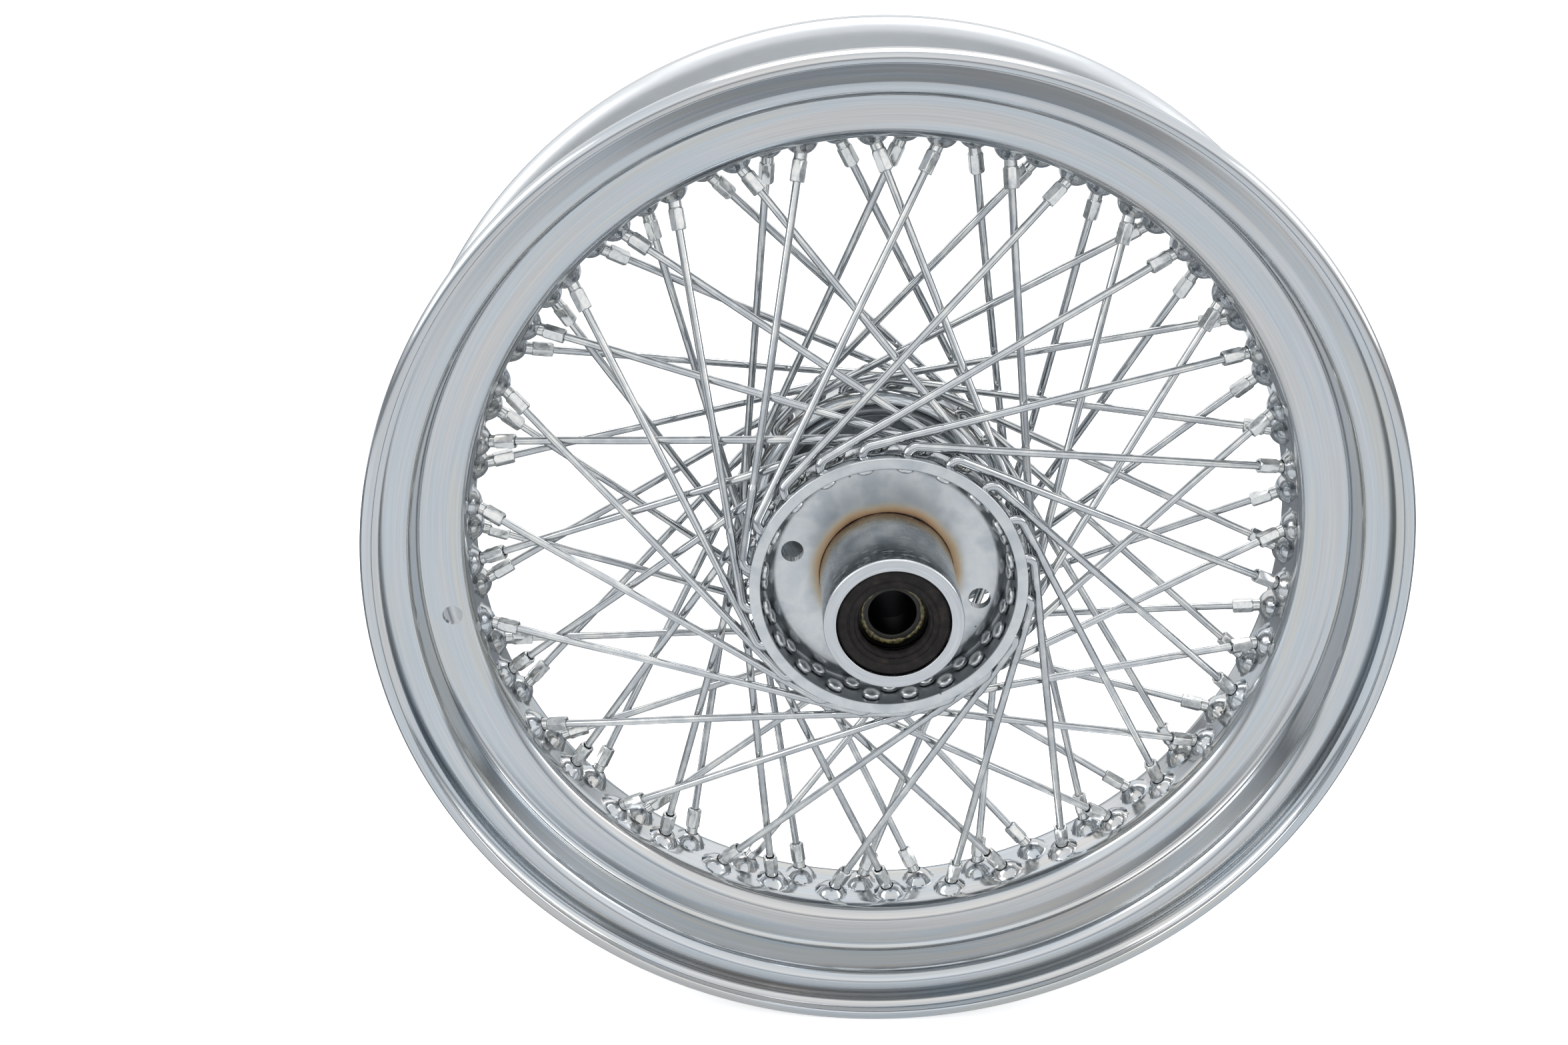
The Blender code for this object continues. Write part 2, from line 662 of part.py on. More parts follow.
def build_sleeve_and_shim(kit, parent):
    """Build the spacer sleeve between the two cones and the shim at its far end."""
    near_front = BEARING_RECESS + CONE_WIDTH + GAP - TUBE_NEAR_END
    far_front = TUBE_FAR_END - BEARING_RECESS - CONE_WIDTH - GAP
    shim_start = far_front - SHIM_THICKNESS
    for name, low, high, wall in (("spacer_sleeve", near_front, shim_start - GAP, SLEEVE_WALL),
                                  ("end_play_shim", shim_start, far_front, SHIM_WALL)):
        radius = SLEEVE_BORE_RADIUS + wall
        outline = [
            (SLEEVE_BORE_RADIUS, low),
            (radius, low),
            (radius, high),
            (SLEEVE_BORE_RADIUS, high),
        ]
        turned(name, outline, BEARING_STEPS, kit, kit["bearing_steel"], parent)


def make_kit():
    """Return the collections and the materials that the builders share."""
    kit = {"parts": new_collection("spoked_wheel"), "joined": new_collection("joined_spokes")}
    for name in ("rim_cutters", "near_flange_cutters", "far_flange_cutters", "carrier_cutters"):
        kit[name] = new_collection(name)
    kit["rim_plate"] = new_material("rim_plate", (0.78, 0.80, 0.82), 0.22, 1.0)
    kit["spoke_steel"] = new_material("spoke_steel", (0.72, 0.74, 0.76), 0.18, 1.0)
    kit["flange_plate"] = new_material("flange_plate", (0.74, 0.77, 0.80), 0.28, 1.0)
    kit["tube_steel"] = new_material("tube_steel", (0.60, 0.63, 0.66), 0.34, 1.0)
    kit["bearing_steel"] = new_material("bearing_steel", (0.50, 0.50, 0.50), 0.25, 1.0)
    kit["rubber"] = new_material("rubber", (0.02, 0.018, 0.018), 0.6, 0.0)
    return kit


def main():
    """Build the whole wheel."""
    clear_scene()
    kit = make_kit()
    core_frame = new_empty("axle_core_frame", kit["parts"])
    wheel_frame = new_empty("wheel_frame", kit["parts"], core_frame)
    build_spoke_pairs(kit, wheel_frame)
    build_rim(kit, wheel_frame)
    build_tube(kit, wheel_frame)
    build_carrier(kit, wheel_frame)
    build_sleeve_and_shim(kit, core_frame)
    for side, side_name in ((NEAR, "near"), (FAR, "far")):
        roller_frame = new_empty(f"{side_name}_rollers_frame", kit["parts"], core_frame)
        build_flange(side, side_name, kit, wheel_frame)
        build_cup(side, f"{side_name}_bearing_cup", kit, wheel_frame)
        build_seal(side, f"{side_name}_seal", kit, wheel_frame)
        build_cone(side, f"{side_name}_bearing_cone", kit, core_frame)
        build_rollers(side, f"{side_name}_rollers", kit, roller_frame)


main()
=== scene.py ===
"""Looks of a spoked motorcycle wheel, built round its fixed frame.

The axle lies along Y, the long end of the hub points to -Y and the rim's centre plane is Y = 0.
Angles round the wheel are in degrees from +X towards +Z. Lengths are in metres.
"""

import logging
import math
from dataclasses import dataclass, field
from enum import Enum
from typing import Callable, Optional

import bmesh
import bpy
import numpy as np
from mathutils import Matrix, Vector

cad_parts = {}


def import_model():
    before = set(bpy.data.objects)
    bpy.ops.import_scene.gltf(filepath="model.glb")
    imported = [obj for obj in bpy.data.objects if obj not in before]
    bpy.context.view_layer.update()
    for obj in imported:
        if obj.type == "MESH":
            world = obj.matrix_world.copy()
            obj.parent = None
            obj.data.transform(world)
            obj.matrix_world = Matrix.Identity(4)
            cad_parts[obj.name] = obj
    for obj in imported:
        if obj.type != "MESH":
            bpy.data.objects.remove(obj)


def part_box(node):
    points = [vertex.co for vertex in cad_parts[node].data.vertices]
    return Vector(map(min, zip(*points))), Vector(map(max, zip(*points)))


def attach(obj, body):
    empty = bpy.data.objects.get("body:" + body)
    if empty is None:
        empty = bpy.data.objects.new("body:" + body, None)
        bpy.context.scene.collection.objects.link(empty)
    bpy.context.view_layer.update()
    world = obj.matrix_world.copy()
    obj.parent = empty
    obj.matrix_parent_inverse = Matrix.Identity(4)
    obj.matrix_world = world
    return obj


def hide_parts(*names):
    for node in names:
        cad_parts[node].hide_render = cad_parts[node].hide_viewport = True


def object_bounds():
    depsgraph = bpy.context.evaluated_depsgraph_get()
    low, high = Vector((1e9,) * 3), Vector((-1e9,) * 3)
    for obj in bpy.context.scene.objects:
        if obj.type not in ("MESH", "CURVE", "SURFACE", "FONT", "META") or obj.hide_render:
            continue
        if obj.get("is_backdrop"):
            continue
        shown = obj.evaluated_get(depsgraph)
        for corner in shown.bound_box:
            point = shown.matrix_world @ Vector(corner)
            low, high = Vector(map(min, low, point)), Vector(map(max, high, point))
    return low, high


LOG = logging.getLogger("spoked_wheel")
MM = 0.001
FULL_TURN = 2.0 * math.pi
AXLE = Vector((0.0, 1.0, 0.0))
# Most of a noise's values lie between these two.
NOISE_MIDDLE = (0.3, 0.7)

Point = tuple[float, float]
Station = tuple[Vector, float]
Stops = tuple[tuple[float, str], ...]
Patterns = dict[str, bpy.types.NodeSocket]


class Side(Enum):
    """The two sides of the wheel, by the sign of Y."""

    NEAR = -1
    FAR = 1

    @property
    def label(self) -> str:
        """Return the side's word in the names of pieces."""
        return self.name.lower()


class Row(Enum):
    """The two rows of spokes on a flange, by the way the row leans on the far side."""

    OUTER = -1
    INNER = 1

    @property
    def label(self) -> str:
        """Return the row's word in the names of pieces."""
        return self.name.lower()


# ---------------------------------------------------------------- colours and nodes


def linear(hex_colour: str) -> tuple[float, float, float, float]:
    """Turn an sRGB hex colour into linear light.

    Args:
        hex_colour: Six hex digits after a #.

    Returns:
        Red, green, blue and an alpha of 1.
    """
    channels = [int(hex_colour[start:start + 2], 16) / 255.0 for start in (1, 3, 5)]
    red, green, blue = (
        value / 12.92 if value <= 0.04045 else ((value + 0.055) / 1.055) ** 2.4
        for value in channels
    )
    return (red, green, blue, 1.0)


def add_node(
    tree: bpy.types.NodeTree, kind: str, inputs: Optional[dict] = None, out: int | str = 0,
    stops: Stops = (), **settings: object,
) -> bpy.types.NodeSocket:
    """Add a shader node with its settings, its inputs and, on a colour ramp, its stops.

    Args:
        tree: The node tree that takes the node.
        kind: The node's type name, after the word ShaderNode.
        inputs: Input socket to its value, its hex colour or the output socket that feeds it.
        out: The output socket to return.
        stops: The place and hex colour of each of a ramp's stops, in order.
        settings: The node's own properties.

    Returns:
        The output socket.
    """
    node = tree.nodes.new(f"ShaderNode{kind}")
    for name, value in settings.items():
        setattr(node, name, value)
    for socket, value in (inputs or {}).items():
        if isinstance(value, bpy.types.NodeSocket):
            tree.links.new(value, node.inputs[socket])
        else:
            plain = linear(value) if isinstance(value, str) else value
            node.inputs[socket].default_value = plain
    if stops:
        elements = node.color_ramp.elements
        while len(elements) < len(stops):
            elements.new(0.5)
        for element, (position, colour) in zip(elements, stops):
            element.position = position
            element.color = linear(colour)
    return node.outputs[out]


@dataclass(frozen=True)
class Polar:
    """The sockets that give a point's place round the axle, which turn with the wheel."""

    radius: bpy.types.NodeSocket
    axial: bpy.types.NodeSocket
    across: bpy.types.NodeSocket
    up: bpy.types.NodeSocket
    place: bpy.types.NodeSocket


def polar_sockets(tree: bpy.types.NodeTree) -> Polar:
    """Add the nodes that give a point's radius, its Y and its direction round the axle.

    Args:
        tree: The node tree that takes the nodes.

    Returns:
        The sockets.
    """
    place = add_node(tree, "TexCoord", out="Object")
    flat = add_node(tree, "VectorMath", {0: place, 1: (1.0, 0.0, 1.0)}, operation="MULTIPLY")
    turn = add_node(tree, "VectorMath", {0: flat}, operation="NORMALIZE")
    return Polar(
        radius=add_node(tree, "VectorMath", {0: flat}, out="Value", operation="LENGTH"),
        axial=add_node(tree, "SeparateXYZ", {0: place}, out="Y"),
        across=add_node(tree, "SeparateXYZ", {0: turn}, out="X"),
        up=add_node(tree, "SeparateXYZ", {0: turn}, out="Z"),
        place=place,
    )


def ring_noise(
    tree: bpy.types.NodeTree, polar: Polar, width: float, turns: float, detail: float = 2.0,
) -> bpy.types.NodeSocket:
    """Add a noise drawn out into rings round the axle, with no seam.

    Args:
        tree: The node tree that takes the nodes.
        polar: The place round the axle.
        width: How wide a ring is, in metres.
        turns: How often a ring changes on its way round.
        detail: The noise's detail.

    Returns:
        The noise's value, from 0 to 1.
    """
    radius, axial, across, up = (
        add_node(tree, "Math", {0: socket, 1: scale}, operation="MULTIPLY")
        for socket, scale in ((polar.radius, 1.0 / width), (polar.axial, 1.0 / width),
                              (polar.across, turns), (polar.up, turns)))
    vector = add_node(tree, "CombineXYZ", {0: radius, 1: axial, 2: across})
    return add_node(tree, "TexNoise", {"Scale": 1.0, "Detail": detail, "Vector": vector, "W": up},
                    noise_dimensions="4D")


def stretched_product(tree: bpy.types.NodeTree, parts: list[tuple]) -> bpy.types.NodeSocket:
    """Stretch values from one range to another, held inside it, and multiply them.

    Args:
        tree: The node tree that takes the nodes.
        parts: A value, what its range's two ends become, and those ends, for each value.
            Without ends, the range is the middle of a noise, where most of its values lie.

    Returns:
        The product.
    """
    product = None
    for value, low, high, *ends in parts:
        start, end = ends or NOISE_MIDDLE
        part = add_node(tree, "MapRange", {"Value": value, "From Min": start, "From Max": end,
                                           "To Min": low, "To Max": high})
        if product is not None:
            part = add_node(tree, "Math", {0: product, 1: part}, operation="MULTIPLY")
        product = part
    return product


# ---------------------------------------------------------------- finishes


@dataclass(frozen=True)
class Finish:
    """A plain finish: one colour, metallic value and roughness, on which the others build."""

    name: str
    slot: str
    colour: str
    roughness: float
    metallic: float = 1.0

    def make(self) -> bpy.types.Material:
        """Return the finish as a material, made once and then shared.

        Returns:
            The material.
        """
        found = bpy.data.materials.get(self.name)
        if found:
            return found
        material = bpy.data.materials.new(self.name)
        material.use_nodes = True
        tree = material.node_tree
        shader = tree.nodes["Principled BSDF"]
        shader.inputs["Base Color"].default_value = linear(self.colour)
        shader.inputs["Roughness"].default_value = self.roughness
        shader.inputs["Metallic"].default_value = self.metallic
        for socket, source in self.patterns(tree, shader).items():
            tree.links.new(source, shader.inputs[socket])
        return material

    def patterns(self, tree: bpy.types.NodeTree, shader: bpy.types.Node) -> Patterns:
        """Return the finish's own patterns, by the shader socket that each one drives."""
        return {}

    def rough(self, tree: bpy.types.NodeTree, pattern: bpy.types.NodeSocket, low: float,
              high: float) -> bpy.types.NodeSocket:
        """Return a roughness that follows a noise between two shares of the finish's own."""
        return stretched_product(tree, [(pattern, self.roughness * low, self.roughness * high)])


@dataclass(frozen=True)
class RolledChrome(Finish):
    """Rolled steel strip, copper, nickel and chrome plated.

    The rolls leave fine lines along the strip that soften the mirror into bands, and the plating
    shows a faint blue, pink and straw tint from band to band. Real roll lines are 0.1 mm apart;
    these are drawn coarser, or they wouldn't show.
    """

    line_width: float = 0.7 * MM
    line_depth: float = 0.006 * MM
    line_shade: float = 0.35
    band_width: float = 6.0 * MM
    tints: Stops = ((0.36, "#CBC9C7"), (0.45, "#C9CBCD"), (0.55, "#C3C9CE"), (0.64, "#CAC9C5"))

    def patterns(self, tree: bpy.types.NodeTree, shader: bpy.types.Node) -> Patterns:
        """Return the roll lines, the bands and the tints.

        Args:
            tree: The node tree that takes the nodes.
            shader: The finish's Principled shader.

        Returns:
            Each pattern's socket, by the shader socket that it drives.
        """
        polar = polar_sockets(tree)
        lines = ring_noise(tree, polar, self.line_width, turns=3.0, detail=3.0)
        bands = ring_noise(tree, polar, self.band_width, turns=1.6, detail=1.0)
        tint = add_node(tree, "ValToRGB", {0: bands}, stops=self.tints)
        shade = stretched_product(tree, [(lines, 0.0, self.line_shade)])
        return {
            "Base Color": add_node(tree, "Mix", {0: shade, 6: tint, 7: self.colour}, out=2,
                                   data_type="RGBA"),
            "Roughness": self.rough(tree, lines, 0.7, 1.5),
            "Normal": add_node(tree, "Bump", {"Distance": self.line_depth, "Height": lines}),
        }


@dataclass(frozen=True)
class SatinStrip(Finish):
    """The tyre's side of the rolled strip, plated but never polished.

    Without polish the plating stays pale and grainy, so it shines softly all over. The grain is
    drawn coarser than its real 0.1 mm, or it wouldn't show.
    """

    grain: float = 0.9 * MM
    grain_depth: float = 0.01 * MM
    grain_shade: float = 0.3
    grain_colour: str = "#C4C7C9"

    def patterns(self, tree: bpy.types.NodeTree, shader: bpy.types.Node) -> Patterns:
        """Return the grain.

        Args:
            tree: The node tree that takes the nodes.
            shader: The finish's Principled shader.

        Returns:
            Each pattern's socket, by the shader socket that it drives.
        """
        grain = ring_noise(tree, polar_sockets(tree), self.grain, turns=40.0, detail=3.0)
        shade = stretched_product(tree, [(grain, 0.0, self.grain_shade)])
        return {
            "Base Color": add_node(tree, "Mix", {0: shade, 6: self.colour, 7: self.grain_colour},
                                   out=2, data_type="RGBA"),
            "Roughness": self.rough(tree, grain, 0.85, 1.15),
            "Normal": add_node(tree, "Bump", {"Distance": self.grain_depth, "Height": grain}),
        }


@dataclass(frozen=True)
class DrawnWire(Finish):
    """Steel wire drawn through a die, then bright plated.

    The die wears as it draws, so the mirror grows slowly brighter and duller along the wire.
    """

    patch: float = 9.0 * MM
    detail: float = 3.0
    dull: tuple[float, str] = (0.35, "#B9BCBF")
    bright: tuple[float, str] = (0.65, "#D6D6D4")

    def patterns(self, tree: bpy.types.NodeTree, shader: bpy.types.Node) -> Patterns:
        """Return the slow change of brightness.

        Args:
            tree: The node tree that takes the nodes.
            shader: The finish's Principled shader.

        Returns:
            Each pattern's socket, by the shader socket that it drives.
        """
        place = add_node(tree, "TexCoord", out="Object")
        noise = add_node(tree, "TexNoise", {"Scale": 1.0 / self.patch, "Detail": self.detail,
                                            "Vector": place})
        return {
            "Base Color": add_node(tree, "ValToRGB", {0: noise},
                                   stops=(self.dull, (0.5, self.colour), self.bright)),
            "Roughness": self.rough(tree, noise, 0.7, 1.4),
        }


@dataclass(frozen=True)
class BarrelPlated(DrawnWire):
    """Nipples turned and milled from bar, then plated loose in a barrel.

    They knock against each other in the barrel, so the bright flats are faintly dappled.
    """

    patch: float = 2.2 * MM
    detail: float = 2.0
    dull: tuple[float, str] = (0.36, "#CBCDCE")
    bright: tuple[float, str] = (0.66, "#DEDEDB")


@dataclass(frozen=True)
class SatinPressing(Finish):
    """A deep-drawn steel flange, satin plated after it was pressed onto its tube.

    Plating is thin in the seam beside the tube, so rust creeps out of it as a brown and straw
    halo, heaviest at the top. The wall inside the cup takes a dark grey that is painted shade
    and reflection, and small dark pits are scattered over the rest.
    """

    seam_radius: float = 28.2 * MM
    halo_width: float = 7.5 * MM
    halo_fade: float = 1.7
    face: float = 38.0 * MM
    rim_face: float = 53.3 * MM
    drum_radius: float = 52.9 * MM
    # The dark grey of the painted shade and reflection on the wall inside the cup.
    drum_colour: str = "#8B8F92"
    cloud_size: float = 14.0 * MM
    clouds: tuple[tuple[float, str], tuple[float, str]] = ((0.35, "#BBC0C4"), (0.65, "#C5C9CC"))
    pit_spacing: float = 11.0 * MM
    pit_colour: str = "#5E5A52"
    grain: float = 0.8 * MM
    grain_depth: float = 0.008 * MM
    rust: Stops = ((0.05, "#C9C6BF"), (0.25, "#D2C3A8"), (0.5, "#C9A87F"), (0.78, "#AC7F52"),
                   (0.96, "#5A3B24"))
    rust_gloss: float = 0.35
    rust_rough: float = 0.3

    def satin(self, tree: bpy.types.NodeTree, polar: Polar,
              cloud: bpy.types.NodeSocket) -> bpy.types.NodeSocket:
        """Return the colour of the satin plating with its pits.

        Args:
            tree: The node tree that takes the nodes.
            polar: The place round the axle.
            cloud: The plating's cloudy noise.

        Returns:
            The colour socket.
        """
        dark, pale = self.clouds
        plate = add_node(tree, "ValToRGB", {0: cloud}, stops=(dark, (0.5, self.colour), pale))
        cells = add_node(tree, "TexVoronoi", {"Scale": 1.0 / self.pit_spacing,
                                              "Vector": polar.place}, out="Distance")
        pits = stretched_product(tree, [(cells, 0.8, 0.0, 0.035, 0.06)])
        return add_node(tree, "Mix", {0: pits, 6: plate, 7: self.pit_colour}, out=2,
                        data_type="RGBA")

    def halo(self, tree: bpy.types.NodeTree, polar: Polar, depth: bpy.types.NodeSocket,
             cloud: bpy.types.NodeSocket) -> bpy.types.NodeSocket:
        """Return how rusty a point of the dish is, from 0 to 1.

        Args:
            tree: The node tree that takes the nodes.
            polar: The place round the axle.
            depth: The distance from the centre plane.
            cloud: The plating's cloudy noise.

        Returns:
            The value socket.
        """
        near = stretched_product(tree, [
            (polar.radius, 1.0, 0.0, self.seam_radius, self.seam_radius + self.halo_width)])
        faded = add_node(tree, "Math", {0: near, 1: self.halo_fade}, operation="POWER")
        return stretched_product(tree, [
            (faded, 0.0, 1.0, 0.0, 1.0),
            (depth, 0.0, 1.0, self.face - 2.0 * MM, self.face - 1.0 * MM),
            (polar.up, 0.5, 1.0, -0.6, 0.9),
            (cloud, 0.7, 1.1),
        ])

    def drum(self, tree: bpy.types.NodeTree, polar: Polar,
             depth: bpy.types.NodeSocket) -> bpy.types.NodeSocket:
        """Return 1 on the wall inside the cup, where the painted shade goes, and 0 elsewhere.

        Args:
            tree: The node tree that takes the nodes.
            polar: The place round the axle.
            depth: The distance from the centre plane.

        Returns:
            The value socket.
        """
        wall = self.drum_radius
        return stretched_product(tree, [
            (polar.radius, 0.0, 1.0, wall - 2.6 * MM, wall - 0.4 * MM),
            (polar.radius, 1.0, 0.0, wall + 0.3 * MM, wall + 0.7 * MM),
            (depth, 1.0, 0.0, self.rim_face - 0.7 * MM, self.rim_face - 0.3 * MM),
        ])

    def patterns(self, tree: bpy.types.NodeTree, shader: bpy.types.Node) -> Patterns:
        """Return the satin, the pits, the halo and the painted shade on the wall inside the cup.

        Args:
            tree: The node tree that takes the nodes.
            shader: The finish's Principled shader.

        Returns:
            Each pattern's socket, by the shader socket that it drives.
        """
        polar = polar_sockets(tree)
        cloud, fine = (
            add_node(tree, "TexNoise", {"Scale": 1.0 / size, "Detail": detail,
                                        "Vector": polar.place})
            for size, detail in ((self.cloud_size, 4.0), (self.grain, 2.0)))
        depth = add_node(tree, "Math", {0: polar.axial}, operation="ABSOLUTE")
        halo = self.halo(tree, polar, depth, cloud)
        rust = add_node(tree, "ValToRGB", {0: halo}, stops=self.rust)
        amount = stretched_product(tree, [(halo, 0.0, 0.9, 0.02, 0.4)])
        rusted = add_node(tree, "Mix", {0: amount, 6: self.satin(tree, polar, cloud), 7: rust},
                          out=2, data_type="RGBA")
        # Painted shade: the wall inside the cup takes a flat dark grey in place of its reflection.
        drum = self.drum(tree, polar, depth)
        rust_rough = add_node(tree, "Math", {0: amount, 1: self.rust_rough},
                              operation="MULTIPLY")
        return {
            "Base Color": add_node(tree, "Mix", {0: drum, 6: rusted, 7: self.drum_colour}, out=2,
                                   data_type="RGBA"),
            "Metallic": stretched_product(tree, [(amount, 1.0, self.rust_gloss, 0.2, 0.9)]),
            "Roughness": add_node(tree, "Math", {0: self.rough(tree, fine, 0.85, 1.15),
                                                 1: rust_rough}, operation="ADD"),
            "Normal": add_node(tree, "Bump", {"Distance": self.grain_depth, "Height": fine}),
        }


@dataclass(frozen=True)
class TurnedTube(Finish):
    """Steel tube turned on a lathe, thinly plated, then scuffed in handling.

    The tool leaves rings round the tube, drawn coarser than their real 0.2 mm so that they show,
    and the scuffs are pale, long and mostly run round it.
    """

    tool_width: float = 0.9 * MM
    tool_depth: float = 0.01 * MM
    scuff_width: float = 1.6 * MM
    scuff_colour: str = "#D2D5D6"
    patch_width: float = 12.0 * MM
    dark_patch: tuple[float, str] = (0.35, "#868D93")
    pale_patch: tuple[float, str] = (0.7, "#B7BCBF")

    def patterns(self, tree: bpy.types.NodeTree, shader: bpy.types.Node) -> Patterns:
        """Return the tool's rings, the patches and the scuffs.

        Args:
            tree: The node tree that takes the nodes.
            shader: The finish's Principled shader.

        Returns:
            Each pattern's socket, by the shader socket that it drives.
        """
        polar = polar_sockets(tree)
        rings = ring_noise(tree, polar, self.tool_width, turns=2.0, detail=3.0)
        scuffs = ring_noise(tree, polar, self.scuff_width, turns=7.0, detail=4.0)
        patches = ring_noise(tree, polar, self.patch_width, turns=2.2)
        shade = add_node(tree, "ValToRGB", {0: patches},
                         stops=(self.dark_patch, (0.55, self.colour), self.pale_patch))
        pale = stretched_product(tree, [(scuffs, 0.0, 0.8, 0.56, 0.68)])
        return {
            "Base Color": add_node(tree, "Mix", {0: pale, 6: shade, 7: self.scuff_colour}, out=2,
                                   data_type="RGBA"),
            "Roughness": stretched_product(tree, [
                (scuffs, self.roughness * 0.8, self.roughness * 1.8, 0.5, 0.7)]),
            "Normal": add_node(tree, "Bump", {"Distance": self.tool_depth, "Height": rings}),
        }


@dataclass(frozen=True)
class FacedSteel(Finish):
    """Steel faced on a lathe: rings and a soft, even sheen.

    The rings are drawn coarser than their real 0.1 mm, or they wouldn't show.
    """

    tool_width: float = 0.6 * MM
    tool_depth: float = 0.004 * MM
    worn_share: float = 0.2
    worn_colour: str = "#6E7174"

    def patterns(self, tree: bpy.types.NodeTree, shader: bpy.types.Node) -> Patterns:
        """Return the tool's rings.

        Args:
            tree: The node tree that takes the nodes.
            shader: The finish's Principled shader.

        Returns:
            Each pattern's socket, by the shader socket that it drives.
        """
        rings = ring_noise(tree, polar_sockets(tree), self.tool_width, turns=1.5)
        worn = stretched_product(tree, [(rings, 0.0, self.worn_share)])
        return {
            "Base Color": add_node(tree, "Mix", {0: worn, 6: self.colour, 7: self.worn_colour},
                                   out=2, data_type="RGBA"),
            "Roughness": self.rough(tree, rings, 0.8, 1.3),
            "Normal": add_node(tree, "Bump", {"Distance": self.tool_depth, "Height": rings}),
        }


@dataclass(frozen=True)
class MouldedRubber(Finish):
    """Nitrile rubber moulded against a turned tool, with a dusty brown cast and fine rings."""

    ring_width: float = 0.8 * MM
    ring_depth: float = 0.04 * MM
    gloss: float = 0.22
    dust_size: float = 3.0 * MM
    dusty: Stops = ((0.62, "#211D1D"), (0.74, "#30261F"))

    def patterns(self, tree: bpy.types.NodeTree, shader: bpy.types.Node) -> Patterns:
        """Return the mould's rings and the dust.

        Args:
            tree: The node tree that takes the nodes.
            shader: The finish's Principled shader.

        Returns:
            Each pattern's socket, by the shader socket that it drives.
        """
        shader.inputs["Specular IOR Level"].default_value = self.gloss
        polar = polar_sockets(tree)
        rings = ring_noise(tree, polar, self.ring_width, turns=1.2)
        dust = add_node(tree, "TexNoise", {"Scale": 1.0 / self.dust_size, "Detail": 5.0,
                                           "Vector": polar.place})
        return {
            "Base Color": add_node(tree, "ValToRGB", {0: dust},
                                   stops=((0.4, self.colour), *self.dusty)),
            "Roughness": self.rough(tree, rings, 0.85, 1.15),
            "Normal": add_node(tree, "Bump", {"Distance": self.ring_depth, "Height": rings}),
        }


@dataclass(frozen=True)
class Grease(Finish):
    """Lithium grease: olive, wet and lumpy where the lip has wiped it."""

    lump: float = 1.6 * MM
    lump_depth: float = 0.25 * MM
    amber: tuple[float, str] = (0.35, "#221E14")
    olive: tuple[float, str] = (0.68, "#8F8450")
    wetness: float = 0.4
    wet_roughness: float = 0.15

    def patterns(self, tree: bpy.types.NodeTree, shader: bpy.types.Node) -> Patterns:
        """Return the lumps and the change from amber to olive.

        Args:
            tree: The node tree that takes the nodes.
            shader: The finish's Principled shader.

        Returns:
            Each pattern's socket, by the shader socket that it drives.
        """
        shader.inputs["Coat Weight"].default_value = self.wetness
        shader.inputs["Coat Roughness"].default_value = self.wet_roughness
        place = add_node(tree, "TexCoord", out="Object")
        noise = add_node(tree, "TexNoise", {"Scale": 1.0 / self.lump, "Detail": 3.0,
                                            "Vector": place})
        return {
            "Base Color": add_node(tree, "ValToRGB", {0: noise},
                                   stops=(self.amber, (0.52, self.colour), self.olive)),
            "Normal": add_node(tree, "Bump", {"Distance": self.lump_depth, "Height": noise}),
        }


RIM_CHROME = RolledChrome("rolled_chrome", "rim_plate", "#A6ABB0", 0.12)
RIM_CHANNEL = SatinStrip("rolled_satin_channel", "rim_plate", "#CBCDCF", 0.42)
SPOKE_WIRE = DrawnWire("drawn_wire_bright_plate", "spoke_plate", "#C2C5C7", 0.1)
SPOKE_HEAD = DrawnWire("upset_wire_head", "spoke_plate", "#D4D6D7", 0.3)
NIPPLE_PLATE = BarrelPlated("barrel_plated_nipple", "nipple_plate", "#D6D7D6", 0.15)
FLANGE_PLATE = SatinPressing("satin_plated_pressing", "flange_plate", "#D0D2D3", 0.34)
FLANGE_BACK = RolledChrome("bright_plated_pressing", "flange_plate", "#B4B8BB", 0.11)
TUBE_STEEL = TurnedTube("turned_scuffed_tube", "tube_steel", "#A6ABAE", 0.24)
TUBE_FACE = FacedSteel("faced_tube_end", "tube_steel", "#CDD0D3", 0.32)
CARRIER_STEEL = FacedSteel("faced_carrier_steel", "tube_steel", "#B4B8BB", 0.3)
# Near-black steel: partly the grease film on the bearing, partly painted shade for the deep bore of
# the tube.
BEARING_STEEL = FacedSteel("oiled_bearing_steel", "bearing_steel", "#302E2B", 0.35)
SLEEVE_STEEL = FacedSteel("turned_sleeve_steel", "sleeve_steel", "#5A595C", 0.4)
SEAL_RUBBER = MouldedRubber("moulded_nitrile_rubber", "seal_rubber", "#161314", 0.55, 0.0)
BEARING_GREASE = Grease("olive_lithium_grease", "bearing_grease", "#5E5733", 0.35, 0.0)


# ---------------------------------------------------------------- mesh work


def round_point(radius: float, angle: float, axial: float) -> Vector:
    """Return the point at a radius and an angle in degrees round the axle, at a Y."""
    turn = math.radians(angle)
    return Vector((radius * math.cos(turn), axial, radius * math.sin(turn)))


@dataclass(frozen=True)
class Corner:
    """A corner of a section: its radius from the axle, its Y and the radius of its fillet."""

    radius: float
    axial: float
    fillet: float = 0.0


